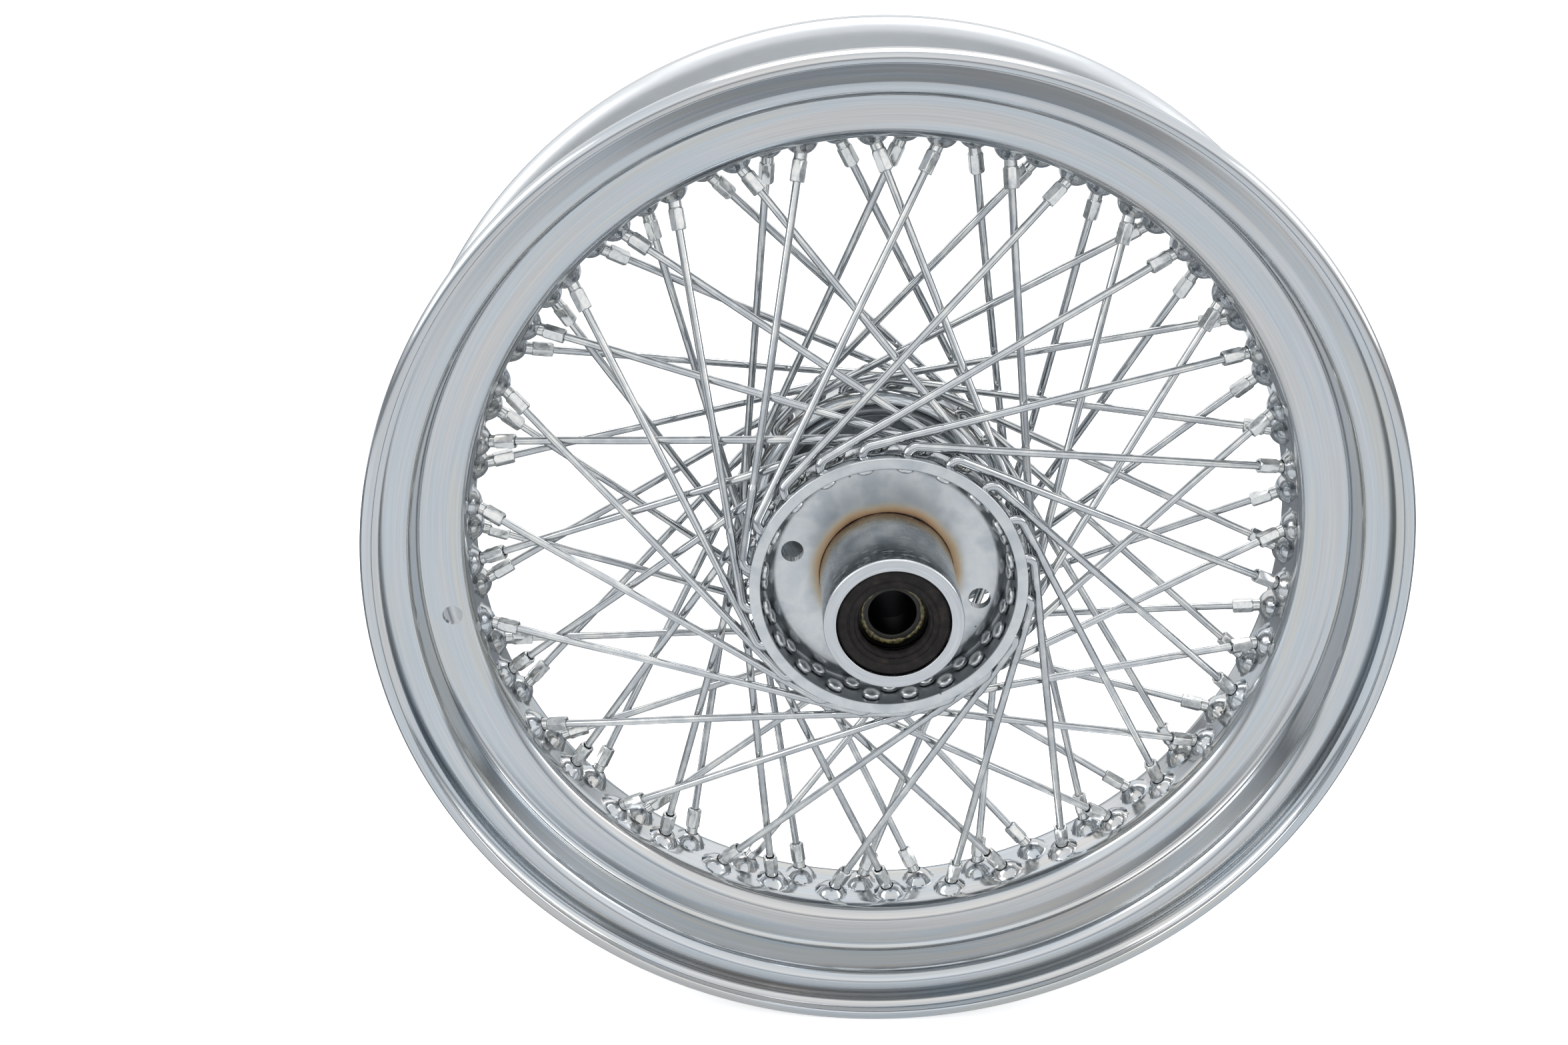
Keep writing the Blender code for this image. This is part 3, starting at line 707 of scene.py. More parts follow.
def filleted(corners: list[Corner], step: float = math.radians(12.0)) -> list[Point]:
    """Round the corners of an open section.

    Args:
        corners: The section's corners in order. The first and the last stay sharp.
        step: The turn between the points of a fillet, in radians.

    Returns:
        The section's points, as radius and Y.
    """
    places = [Vector((corner.radius, corner.axial)) for corner in corners]
    points = [tuple(places[0])]
    for before, here, after, corner in zip(places, places[1:], places[2:], corners[1:]):
        back = (before - here).normalized()
        ahead = (after - here).normalized()
        turn = math.pi - back.angle(ahead)
        if corner.fillet <= 0.0 or turn < 1e-4:
            points.append(tuple(here))
            continue
        reach = corner.fillet * math.tan(turn / 2.0)
        start = here + back * reach
        centre = here + (back + ahead).normalized() * (corner.fillet / math.cos(turn / 2.0))
        spoke = start - centre
        sign = 1.0 if back.x * ahead.y - back.y * ahead.x < 0.0 else -1.0
        count = max(2, math.ceil(turn / step))
        for index in range(count + 1):
            bend = sign * turn * index / count
            points.append((centre.x + spoke.x * math.cos(bend) - spoke.y * math.sin(bend),
                           centre.y + spoke.x * math.sin(bend) + spoke.y * math.cos(bend)))
    points.append(tuple(places[-1]))
    return points


def closed_fillets(corners: list[Corner]) -> list[Point]:
    """Return a closed section with every corner rounded by its own fillet."""
    doubled = [corners[-1], *corners, corners[0]]
    return filleted(doubled)[1:-1]


def subdivided(path: list[Point], low: float, high: float, spacing: float) -> list[Point]:
    """Add points to the stretch of a section whose Y lies between two values.

    Args:
        path: The section's points, as radius and Y.
        low: The lowest Y of the stretch.
        high: The highest Y of the stretch.
        spacing: The greatest distance between points.

    Returns:
        The section with its new points.
    """
    result = [path[0]]
    for before, after in zip(path, path[1:]):
        middle = (before[1] + after[1]) / 2.0
        count = 1
        if low < middle < high:
            count = max(1, math.ceil(math.dist(before, after) / spacing))
        for index in range(1, count + 1):
            share = index / count
            result.append((before[0] + (after[0] - before[0]) * share,
                           before[1] + (after[1] - before[1]) * share))
    return result


def sheet_section(path: list[Point], thickness: float, edge: float) -> list[Point]:
    """Give an open section the thickness of a sheet, with rounded edges.

    Args:
        path: The sheet's first face. The thickness lies to its right.
        thickness: The sheet's thickness.
        edge: The radius of the rounding at the sheet's two edges.

    Returns:
        The closed section.
    """
    points = np.array(path)
    runs = np.diff(points, axis=0)
    runs /= np.linalg.norm(runs, axis=1)[:, None]
    before = np.vstack([runs[:1], runs])
    after = np.vstack([runs, runs[-1:]])
    mean = before + after
    mean /= np.linalg.norm(mean, axis=1)[:, None]
    stretch = 1.0 / np.sum(mean * after, axis=1)
    normal = np.stack([mean[:, 1], -mean[:, 0]], axis=1) * stretch[:, None]
    other = points + normal * thickness
    start = edge_points(other[0], points[0], runs[0], edge)
    end = edge_points(points[-1], other[-1], -runs[-1], edge)
    return [*start, *map(tuple, points[1:-1]), *end, *map(tuple, other[-2:0:-1])]


def edge_points(first: np.ndarray, last: np.ndarray, inward: np.ndarray,
                radius: float) -> list[Point]:
    """Return the points that round a sheet's edge.

    Args:
        first: Where the edge starts, on one face.
        last: Where the edge ends, on the other face.
        inward: The way back into the sheet, of length 1.
        radius: The rounding's radius.

    Returns:
        The points from one face to the other.
    """
    across = (last - first) / np.linalg.norm(last - first)
    points = []
    for corner, forward in ((first, 1.0), (last, -1.0)):
        centre = corner + inward * radius + across * forward * radius
        turns = np.linspace(0.0, math.pi / 2.0, 5)
        if forward < 0.0:
            turns = turns[::-1]
        for turn in turns:
            place = centre - inward * radius * math.sin(turn) - (
                across * forward * radius * math.cos(turn))
            points.append(tuple(place))
    return points


def mesh_from(name: str, points: np.ndarray, faces: np.ndarray) -> bpy.types.Mesh:
    """Return a mesh from an array of points and an array of faces of one kind.

    Args:
        name: The mesh's name.
        points: The points' places.
        faces: The point numbers of each face.

    Returns:
        The mesh.
    """
    mesh = bpy.data.meshes.new(name)
    mesh.from_pydata(points.tolist(), [], faces.tolist())
    mesh.update()
    return mesh


def tube_faces(rings: int, count: int) -> np.ndarray:
    """Return the faces that join rings of points into one closed ring of a tube.

    Args:
        rings: The number of rings, the last of which joins the first.
        count: The number of points in a ring.

    Returns:
        Four point numbers for each face.
    """
    here = np.arange(rings)[:, None] * count + np.arange(count)[None, :]
    along = np.roll(here, -1, axis=1)
    return np.stack([here, along, np.roll(along, -1, axis=0), np.roll(here, -1, axis=0)],
                    axis=2).reshape(-1, 4)


def turned_mesh(name: str, section: list[Point], steps: int) -> bpy.types.Mesh:
    """Turn a closed section round the axle.

    Args:
        name: The mesh's name.
        section: Radius and Y of the section's points, in either order round it.
        steps: The number of facets round the axle.

    Returns:
        A closed mesh whose faces point out.
    """
    outline = np.array(section)
    following = np.roll(outline, -1, axis=0)
    area = np.sum(outline[:, 0] * following[:, 1] - outline[:, 1] * following[:, 0])
    if area < 0.0:
        outline = outline[::-1]
    turns = np.arange(steps) * FULL_TURN / steps
    radius = outline[:, 0][None, :]
    points = np.stack([radius * np.cos(turns)[:, None],
                       np.repeat(outline[:, 1][None, :], steps, axis=0),
                       radius * np.sin(turns)[:, None]], axis=2).reshape(-1, 3)
    return mesh_from(name, points, tube_faces(steps, len(outline)))


def add_drill(shape: bmesh.types.BMesh, start: Vector, end: Vector, radius: float,
              sides: int = 32) -> None:
    """Add a closed round bar between two points to a bmesh of cutters.

    Args:
        shape: The bmesh that takes the bar.
        start: The middle of one end.
        end: The middle of the other end.
        radius: The bar's radius.
        sides: The bar's number of sides.
    """
    axis = end - start
    turn = axis.to_track_quat("Z", "Y").to_matrix().to_4x4()
    place = Matrix.Translation((start + end) / 2.0) @ turn
    bmesh.ops.create_cone(shape, cap_ends=True, segments=sides, radius1=radius, radius2=radius,
                          depth=axis.length, matrix=place)


def drilled(mesh: bpy.types.Mesh, drills: bmesh.types.BMesh) -> bpy.types.Mesh:
    """Cut a mesh with a bmesh of drills, which is freed.

    Args:
        mesh: The mesh to cut, which is removed.
        drills: The cutters.

    Returns:
        The cut mesh.
    """
    cutter_mesh = bpy.data.meshes.new("drills")
    drills.to_mesh(cutter_mesh)
    drills.free()
    cutter = bpy.data.objects.new("drills", cutter_mesh)
    blank = bpy.data.objects.new("blank", mesh)
    for item in (cutter, blank):
        bpy.context.scene.collection.objects.link(item)
    cut = blank.modifiers.new("holes", "BOOLEAN")
    cut.operation = "DIFFERENCE"
    cut.solver = "MANIFOLD"
    cut.object = cutter
    graph = bpy.context.evaluated_depsgraph_get()
    result = bpy.data.meshes.new_from_object(blank.evaluated_get(graph))
    result.name = mesh.name
    result.materials.clear()
    for item in (cutter, blank):
        bpy.data.objects.remove(item, do_unlink=True)
    bpy.data.meshes.remove(mesh)
    return result


def stacked_mesh(name: str, stacks: list[list]) -> bpy.types.Mesh:
    """Skin stacks of rings into closed bars, with a flat face at each end.

    Args:
        name: The mesh's name.
        stacks: Each bar's rings in order, each a list of points.

    Returns:
        A closed mesh whose faces point out.
    """
    shape = bmesh.new()
    for stack in stacks:
        loops = [[shape.verts.new(point) for point in ring] for ring in stack]
        for first, second in zip(loops, loops[1:]):
            for index in range(len(first)):
                after = (index + 1) % len(first)
                shape.faces.new((first[index], first[after], second[after], second[index]))
        shape.faces.new(loops[0][::-1])
        shape.faces.new(loops[-1])
    bmesh.ops.recalc_face_normals(shape, faces=shape.faces)
    mesh = bpy.data.meshes.new(name)
    shape.to_mesh(mesh)
    shape.free()
    return mesh


def swept_mesh(name: str, stations: list[Station], sides: int) -> bpy.types.Mesh:
    """Sweep a circle along a line, with a flat face at each end.

    Args:
        name: The mesh's name.
        stations: The line's points and the circle's radius at each.
        sides: The circle's number of sides.

    Returns:
        A closed mesh.
    """
    line = np.array([tuple(centre) for centre, _ in stations])
    runs = np.gradient(line, axis=0)
    moving = np.linalg.norm(runs, axis=1) > 1e-9
    runs[~moving] = runs[moving][0]
    runs /= np.linalg.norm(runs, axis=1)[:, None]
    side = np.cross(runs[0], AXLE)
    rings = []
    for centre, run, (_, radius) in zip(line, runs, stations):
        side = side - run * np.dot(side, run)
        side /= np.linalg.norm(side)
        other = np.cross(run, side)
        turns = np.arange(sides) * FULL_TURN / sides
        rings.append(centre + radius * (np.cos(turns)[:, None] * side
                                        + np.sin(turns)[:, None] * other))
    return stacked_mesh(name, [rings])


def shaded(mesh: bpy.types.Mesh, sharp_angle: float = 34.0) -> bpy.types.Mesh:
    """Shade a mesh smooth, with edges sharper than an angle in degrees left sharp.

    Args:
        mesh: The mesh.
        sharp_angle: The angle, in degrees.

    Returns:
        The same mesh.
    """
    mesh.shade_smooth()
    mesh.set_sharp_from_angle(angle=math.radians(sharp_angle))
    return mesh


def dress_back(mesh: bpy.types.Mesh, front: Finish, back: Finish, reach: float = 1.0) -> None:
    """Give a pressed sheet one finish, and another on the side away from the axle.

    Args:
        mesh: The sheet, as thin walls round the axle.
        front: The finish of the side that faces the axle or the wheel's sides.
        back: The finish of the side that faces out from the axle or to the centre plane.
        reach: How far from the centre plane the second finish goes.
    """
    mesh.materials.append(front.make())
    mesh.materials.append(back.make())
    for face in mesh.polygons:
        centre, normal = face.center, face.normal
        out = Vector((centre.x, 0.0, centre.z)).normalized()
        lean = normal.dot(out) - normal.y * math.copysign(1.0, centre.y)
        if lean > 0.0 and abs(centre.y) < reach:
            face.material_index = 1


def place_piece(
    name: str, mesh: bpy.types.Mesh, finish: Finish, body: str, *nodes: str,
    place: Optional[Matrix] = None,
) -> bpy.types.Object:
    """Put a finished piece on its body and let it stand for its frame nodes.

    Args:
        name: The piece's name.
        mesh: Its mesh, which other pieces may share.
        finish: The finish of a mesh that has no material yet.
        body: The frame body that it moves with.
        nodes: The frame nodes that it stands for.
        place: Where it goes. None leaves it where its mesh is.

    Returns:
        The piece.
    """
    if not mesh.materials:
        mesh.materials.append(finish.make())
    piece = bpy.data.objects.new(name, mesh)
    bpy.context.scene.collection.objects.link(piece)
    if place is not None:
        piece.matrix_world = place
    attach(piece, body)
    if nodes:
        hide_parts(*nodes)
    return piece


def report(name: str, count: int, mesh: bpy.types.Mesh) -> None:
    """Log a piece, how many there are of it and how fine its mesh is."""
    LOG.info("%s: %d, %d faces each", name, count, len(mesh.polygons))


# ---------------------------------------------------------------- lacing


@dataclass
class Lacing:
    """Eighty spokes in four rows, each in its nipple, with two rows on each flange."""

    spokes_per_row: int = 20
    near_phase: float = 12.9
    sweep: float = 72.0
    outer_head: float = 47.0 * MM
    row_spacing: float = 7.5 * MM
    outer_nipple: float = 5.3 * MM
    inner_nipple: float = 4.2 * MM
    head_base: float = 52.5 * MM
    elbow_radius: float = 61.0 * MM
    elbow_bend: float = 4.0 * MM
    well_radius: float = 178.5 * MM
    wire_radius: float = 1.7 * MM
    butt_radius: float = 2.05 * MM
    butt_length: float = 33.0 * MM
    butt_taper: float = 2.6 * MM
    step_shoulder: float = 0.06 * MM
    step_toe: float = 0.03 * MM
    head_radius: float = 3.9 * MM
    head_rim: float = 1.3 * MM
    head_dome: float = 1.5 * MM
    head_step: float = 0.25 * MM
    head_bevel: float = 0.05 * MM
    neck_fillet: float = 0.35 * MM
    dome_leans: tuple[float, float, int] = (6.0, 82.0, 7)
    bend_steps: int = 10
    run_steps: int = 16
    nipple_reach: float = 16.0 * MM
    wire_overlap: float = 2.0 * MM
    wire_sides: int = 14
    sharp_angle: float = 50.0
    crossing_share: float = 0.8
    crossing_span: float = 36.0 * MM

    @property
    def pitch(self) -> float:
        """Return the angle from one spoke of a row to the next."""
        return 360.0 / self.spokes_per_row

    def nipple_angle(self, side: Side, row: Row, index: int) -> float:
        """Return the angle of a nipple round the rim.

        Args:
            side: The spoke's flange.
            row: The spoke's row.
            index: The spoke's number in its row.

        Returns:
            The angle, in degrees.
        """
        start = self.near_phase
        if side is Side.FAR:
            start -= self.pitch / 4.0
        if row is Row.INNER:
            start -= side.value * self.pitch / 2.0
        return start + index * self.pitch

    def nipple_axial(self, side: Side, row: Row) -> float:
        """Return the Y of a row's nipples where they leave the rim."""
        return side.value * (self.outer_nipple if row is Row.OUTER else self.inner_nipple)

    def head_axial(self, side: Side, row: Row) -> float:
        """Return the Y of a row's heads."""
        inset = self.row_spacing if row is Row.INNER else 0.0
        return side.value * (self.outer_head - inset)

    def head_turn(self, side: Side, row: Row) -> float:
        """Return the angle from a spoke's nipple to its head."""
        return side.value * row.value * self.sweep

    def seat(self, side: Side, row: Row, angle: float) -> Vector:
        """Return where a nipple's axis meets the rim's well."""
        return round_point(self.well_radius, angle, self.nipple_axial(side, row))

    def elbow(self, side: Side, row: Row, angle: float) -> Vector:
        """Return the corner of a spoke's elbow."""
        turn = angle + self.head_turn(side, row)
        return round_point(self.elbow_radius, turn, self.head_axial(side, row))

    def run(self, side: Side, row: Row, angle: float) -> Vector:
        """Return the direction of a spoke from its elbow to its nipple."""
        return (self.seat(side, row, angle) - self.elbow(side, row, angle)).normalized()

    def bow(self, side: Side, row: Row, distance: float, length: float) -> Vector:
        """Return how far a spoke is pushed aside where it rests on the one that it crosses.

        Args:
            side: The spoke's flange.
            row: The spoke's row.
            distance: The distance from the elbow along the spoke.
            length: The whole length from the elbow to the rim.

        Returns:
            The shift along the axle.
        """
        share = self.crossing_share
        gap = (self.row_spacing * (1.0 - share)
               + (self.outer_nipple - self.inner_nipple) * share)
        push = max(0.0, self.wire_radius - gap / 2.0)
        away = (distance - share * length) / self.crossing_span
        amount = push * max(0.0, 1.0 - away * away) ** 2
        outward = side.value * (1.0 if row is Row.OUTER else -1.0)
        return AXLE * (outward * amount)

    def head_stations(self, head: Vector, out: Vector) -> list[Station]:
        """Return the wire's stations from the top of its domed head to its neck.

        Args:
            head: Where the head rests on the flange.
            out: The way from the axle to the head, of length 1.

        Returns:
            The stations.
        """
        leans = [math.radians(lean) for lean in np.linspace(*self.dome_leans)]
        dome = [(self.head_dome * math.cos(lean) + self.head_rim, self.head_radius * math.sin(lean))
                for lean in leans]
        rim = [(self.head_rim, self.head_radius), (self.head_step, self.head_radius),
               (self.head_bevel, self.head_radius - 3.0 * self.head_bevel),
               (0.0, self.butt_radius + self.neck_fillet), (-self.neck_fillet, self.butt_radius)]
        return [(head - out * depth, radius) for depth, radius in dome + rim]

    def bend_stations(self, elbow: Vector, out: Vector, run: Vector) -> list[Station]:
        """Return the wire's stations round its elbow.

        Args:
            elbow: The elbow's corner.
            out: The way from the axle to the elbow, of length 1.
            run: The way from the elbow to the nipple, of length 1.

        Returns:
            The stations, from the head's side on.
        """
        bend = out.angle(run)
        centre = elbow + (run - out).normalized() * (self.elbow_bend / math.cos(bend / 2.0))
        start = elbow - out * (self.elbow_bend * math.tan(bend / 2.0)) - centre
        axis = out.cross(run).normalized()
        return [(centre + Matrix.Rotation(bend * index / self.bend_steps, 3, axis) @ start,
                 self.butt_radius) for index in range(self.bend_steps + 1)]

    def run_stations(self, side: Side, row: Row, bend: float) -> list[Station]:
        """Return the wire's stations from its elbow into its nipple.

        Args:
            side: The spoke's flange.
            row: The spoke's row.
            bend: The elbow's turn, in radians.

        Returns:
            The stations of the butted end, of the step after it and of the wire.
        """
        elbow = self.elbow(side, row, 0.0)
        run = self.run(side, row, 0.0)
        length = (self.seat(side, row, 0.0) - elbow).length
        reach = self.elbow_bend * math.tan(bend / 2.0)
        taper = self.butt_taper
        step = self.butt_length + taper
        stages = [(reach + (self.butt_length - reach) * share, self.butt_radius)
                  for share in (0.25, 0.5, 0.75, 1.0)]
        stages += [(self.butt_length + 0.35 * taper, self.butt_radius - self.step_shoulder),
                   (step - 0.15 * taper, self.wire_radius + self.step_toe),
                   (step, self.wire_radius)]
        stations = [(elbow + run * distance, radius) for distance, radius in stages]
        end = length - self.nipple_reach + self.wire_overlap
        for index in range(1, self.run_steps + 1):
            distance = step + (end - step) * index / self.run_steps
            stations.append((elbow + run * distance + self.bow(side, row, distance, length),
                             self.wire_radius))
        return stations

    def spoke_mesh(self, side: Side, row: Row) -> bpy.types.Mesh:
        """Return the mesh of a row's spoke, for a nipple at an angle of 0.

        Args:
            side: The spoke's flange.
            row: The spoke's row.

        Returns:
            The mesh, with both its finishes.
        """
        turn = self.head_turn(side, row)
        run = self.run(side, row, 0.0)
        out = round_point(1.0, turn, 0.0)
        head = round_point(self.head_base, turn, self.head_axial(side, row))
        stations = [*self.head_stations(head, out),
                    *self.bend_stations(self.elbow(side, row, 0.0), out, run),
                    *self.run_stations(side, row, out.angle(run))]
        mesh = swept_mesh(f"{side.label}_{row.label}_spoke", stations, self.wire_sides)
        mesh.materials.append(SPOKE_WIRE.make())
        mesh.materials.append(SPOKE_HEAD.make())
        middle = head - out * self.head_rim
        for face in mesh.polygons:
            if (face.center - middle).length < self.head_radius:
                face.material_index = 1
        return shaded(mesh, self.sharp_angle)

    def build(self) -> None:
        """Build every spoke and every nipple."""
        nipple = Nipple()
        nipple_mesh = nipple.mesh()
        for side in Side:
            for row in Row:
                mesh = self.spoke_mesh(side, row)
                for index in range(self.spokes_per_row):
                    angle = self.nipple_angle(side, row, index)
                    number = f"{index + 1:02d}"
                    node = f"{side.label}_spoke_pair_{number}"
                    turn = Matrix.Rotation(math.radians(-angle), 4, "Y")
                    place_piece(f"{side.label}_{row.label}_spoke_{number}", mesh, SPOKE_WIRE,
                                "wheel", node, place=turn)
                    place = nipple.place(self.seat(side, row, angle), self.run(side, row, angle),
                                         index)
                    place_piece(f"{side.label}_{row.label}_nipple_{number}", nipple_mesh,
                                NIPPLE_PLATE, "wheel", node, place=place)
                report(mesh.name, self.spokes_per_row, mesh)
        report("nipple", 4 * self.spokes_per_row, nipple_mesh)


@dataclass
class Nipple:
    """A spoke nipple: a slotted head in the tyre channel, a round neck and a six-sided barrel."""

    head_radius: float = 4.6 * MM
    neck_radius: float = 2.75 * MM
    barrel_radius: float = 3.3 * MM
    across_flats: float = 5.9 * MM
    bore_radius: float = 1.98 * MM
    reach: float = 16.0 * MM
    neck_end: float = 6.8 * MM
    shoulder: float = 0.9 * MM
    chamfer: float = 0.55 * MM
    slot_width: float = 1.1 * MM
    slot_height: float = 2.0 * MM
    slot_place: float = -3.3 * MM
    golden_turn: float = 137.5
    # The head's domed top: distance towards the hub and radius, from the middle out.
    head_top: tuple[Point, ...] = (
        (-3.4 * MM, 0.4 * MM), (-3.3 * MM, 1.6 * MM), (-3.0 * MM, 2.9 * MM),
        (-2.5 * MM, 3.9 * MM), (-1.9 * MM, 4.45 * MM))
    head_edges: tuple[float, float, float] = (-1.4 * MM, -0.9 * MM, 0.6 * MM)
    neck_start: float = 1.2 * MM
    bore_depth: float = 3.2 * MM

    def outline(self) -> list[Point]:
        """Return the turned outline as (distance towards the hub, radius), from the head's top.

        Returns:
            The outline's points.
        """
        top, bottom, foot = self.head_edges
        return [
            *self.head_top, (top, self.head_radius), (bottom, self.head_radius - 0.1 * MM),
            (foot, self.neck_radius + 0.5 * MM), (self.neck_start, self.neck_radius),
            (self.neck_end - 0.2 * MM, self.neck_radius),
            *[(self.neck_end + self.shoulder * share,
               self.neck_radius + (self.barrel_radius - self.neck_radius) * share)
              for share in (0.0, 0.2, 0.4, 0.6, 0.8, 1.0)],
            *[(self.reach - self.chamfer * (1.0 - share),
               self.barrel_radius - self.chamfer * share ** 1.5)
              for share in (0.0, 0.25, 0.5, 0.75, 1.0)],
            (self.reach, self.bore_radius + 0.12 * MM),
            (self.reach - 0.15 * MM, self.bore_radius),
            (self.reach - self.bore_depth, self.bore_radius),
        ]

    def mesh(self) -> bpy.types.Mesh:
        """Return the nipple's mesh, with its seat at the origin and the hub towards +Z.

        Returns:
            The mesh.
        """
        half = self.across_flats / 2.0
        edge = math.degrees(math.acos(half / self.barrel_radius))
        turns = [60.0 * flat + part * edge for flat in range(6)
                 for part in (-1.0, -0.66, -0.33, 0.0, 0.33, 0.66, 1.0)]
        rings = []
        for place, radius in self.outline():
            ring = []
            for turn in turns:
                flat_turn = (turn + 30.0) % 60.0 - 30.0
                flat = half / math.cos(math.radians(flat_turn))
                limit = min(radius, flat) if place > self.neck_end else radius
                lean = math.radians(turn)
                ring.append((limit * math.cos(lean), limit * math.sin(lean), place))
            rings.append(ring)
        mesh = stacked_mesh("nipple", [rings])
        slot = bmesh.new()
        bmesh.ops.create_cube(
            slot, size=1.0, matrix=Matrix.Translation((0.0, 0.0, self.slot_place))
            @ Matrix.Diagonal((4.0 * self.head_radius, self.slot_width, self.slot_height, 1.0)))
        return shaded(drilled(mesh, slot), 20.0)

    def place(self, seat: Vector, run: Vector, index: int) -> Matrix:
        """Return where a nipple goes, turned on its thread by a different amount each time.

        Args:
            seat: Where the nipple's axis meets the rim's well.
            run: The way from the elbow to the nipple, of length 1.
            index: The spoke's number in its row.

        Returns:
            The matrix that takes the nipple there.
        """
        lean = (-run).to_track_quat("Z", "Y").to_matrix().to_4x4()
        twist = Matrix.Rotation(math.radians(self.golden_turn * index), 4, "Z")
        return Matrix.Translation(seat) @ lean @ twist


# ---------------------------------------------------------------- rim


@dataclass
class Rim:
    """One rolled drop-centre rim with a pressed dome round each nipple, and its valve hole."""

    lacing: Lacing
    radius: float = 217.9 * MM
    half_width: float = 50.8 * MM
    sheet: float = 2.5 * MM
    seat_radius: float = 198.6 * MM
    well_radius: float = 178.5 * MM
    well_half_width: float = 19.5 * MM
    well_draft: float = 1.0 * MM
    wall_foot: float = 43.0 * MM
    wall_top: float = 41.0 * MM
    lip_drop: float = 2.8 * MM
    lip_lean: float = 0.2 * MM
    lip_edge: float = 1.0 * MM
    well_fillet: float = 8.0 * MM
    shoulder_fillet: float = 3.2 * MM
    foot_fillet: float = 5.5 * MM
    wall_fillet: float = 4.0 * MM
    lip_fillet: float = 1.2 * MM
    fillet_step: float = 11.0
    satin_reach: float = 43.5 * MM
    well_spacing: float = 0.9 * MM
    dome_radius: float = 7.0 * MM
    dome_height: float = 5.0 * MM
    dome_edge: float = 0.5 * MM
    hole_radius: float = 3.15 * MM
    valve_radius: float = 4.3 * MM
    valve_place: float = 188.0 * MM
    valve_angle: float = 189.5
    nipple_drill: tuple[float, float] = (-9.0 * MM, 8.0 * MM)
    valve_drill: tuple[float, float] = (-30.0 * MM, -12.0 * MM)
    steps: int = 1200

    def section(self) -> list[Point]:
        """Return the rim's closed section.

        Returns:
            The section's points, as radius and Y.
        """
        skin = self.radius - self.sheet
        edge = self.half_width - self.sheet
        half = [
            Corner(self.well_radius, self.well_half_width, self.well_fillet),
            Corner(self.seat_radius, self.well_half_width + self.well_draft,
                   self.shoulder_fillet),
            Corner(self.seat_radius, self.wall_foot, self.foot_fillet),
            Corner(skin, self.wall_top, self.wall_fillet),
            Corner(skin, edge, self.lip_fillet),
            Corner(skin - self.lip_drop, edge - self.lip_lean),
        ]
        mirrored = [Corner(corner.radius, -corner.axial, corner.fillet)
                    for corner in reversed(half)]
        path = filleted(mirrored + half, math.radians(self.fillet_step))
        flat = self.well_half_width - 5.0 * MM
        path = subdivided(path, -flat, flat, self.well_spacing)
        return sheet_section(path, self.sheet, self.lip_edge)

    def press_domes(self, mesh: bpy.types.Mesh) -> None:
        """Press the well towards the hub round each nipple, both skins alike.

        Args:
            mesh: The mesh.
        """
        points = np.zeros(len(mesh.vertices) * 3)
        mesh.vertices.foreach_get("co", points)
        points = points.reshape(-1, 3)
        radius = np.hypot(points[:, 0], points[:, 2])
        turn = np.arctan2(points[:, 2], points[:, 0])
        in_well = radius < self.well_radius + self.sheet + 1.0 * MM
        curve = (self.dome_radius ** 2 + self.dome_height ** 2) / (2.0 * self.dome_height)
        rise = np.zeros(len(points))
        for side in Side:
            for row in Row:
                axial = self.lacing.nipple_axial(side, row)
                for index in range(self.lacing.spokes_per_row):
                    angle = math.radians(self.lacing.nipple_angle(side, row, index))
                    around = (turn - angle + math.pi) % FULL_TURN - math.pi
                    distance = np.hypot(around * self.well_radius, points[:, 1] - axial)
                    close = in_well & (distance < curve)
                    cap = np.sqrt(curve ** 2 - distance[close] ** 2) - curve + self.dome_height
                    soft = self.dome_edge * np.logaddexp(0.0, cap / self.dome_edge)
                    rise[close] = np.maximum(rise[close], soft)
        points[:, 0] -= rise * np.cos(turn)
        points[:, 2] -= rise * np.sin(turn)
        mesh.vertices.foreach_set("co", points.ravel())
        mesh.update()

    def drills(self) -> bmesh.types.BMesh:
        """Return the drills for the nipples and the valve.

        Returns:
            The drills, in one bmesh.
        """
        shape = bmesh.new()
        for side in Side:
            for row in Row:
                for index in range(self.lacing.spokes_per_row):
                    angle = self.lacing.nipple_angle(side, row, index)
                    seat = self.lacing.seat(side, row, angle)
                    run = self.lacing.run(side, row, angle)
                    start, end = (seat + run * reach for reach in self.nipple_drill)
                    add_drill(shape, start, end, self.hole_radius, 24)
        start, end = (round_point(self.valve_place, self.valve_angle, axial)
                      for axial in self.valve_drill)
        add_drill(shape, start, end, self.valve_radius, 40)
        return shape

    def build(self) -> None:
        """Build the rim."""
        mesh = turned_mesh("rim", self.section(), self.steps)
        self.press_domes(mesh)
        mesh = shaded(drilled(mesh, self.drills()))
        dress_back(mesh, RIM_CHROME, RIM_CHANNEL, self.satin_reach)
        place_piece("rolled_rim", mesh, RIM_CHROME, "wheel", "rim")
        report("rolled rim", 1, mesh)


# ---------------------------------------------------------------- hub


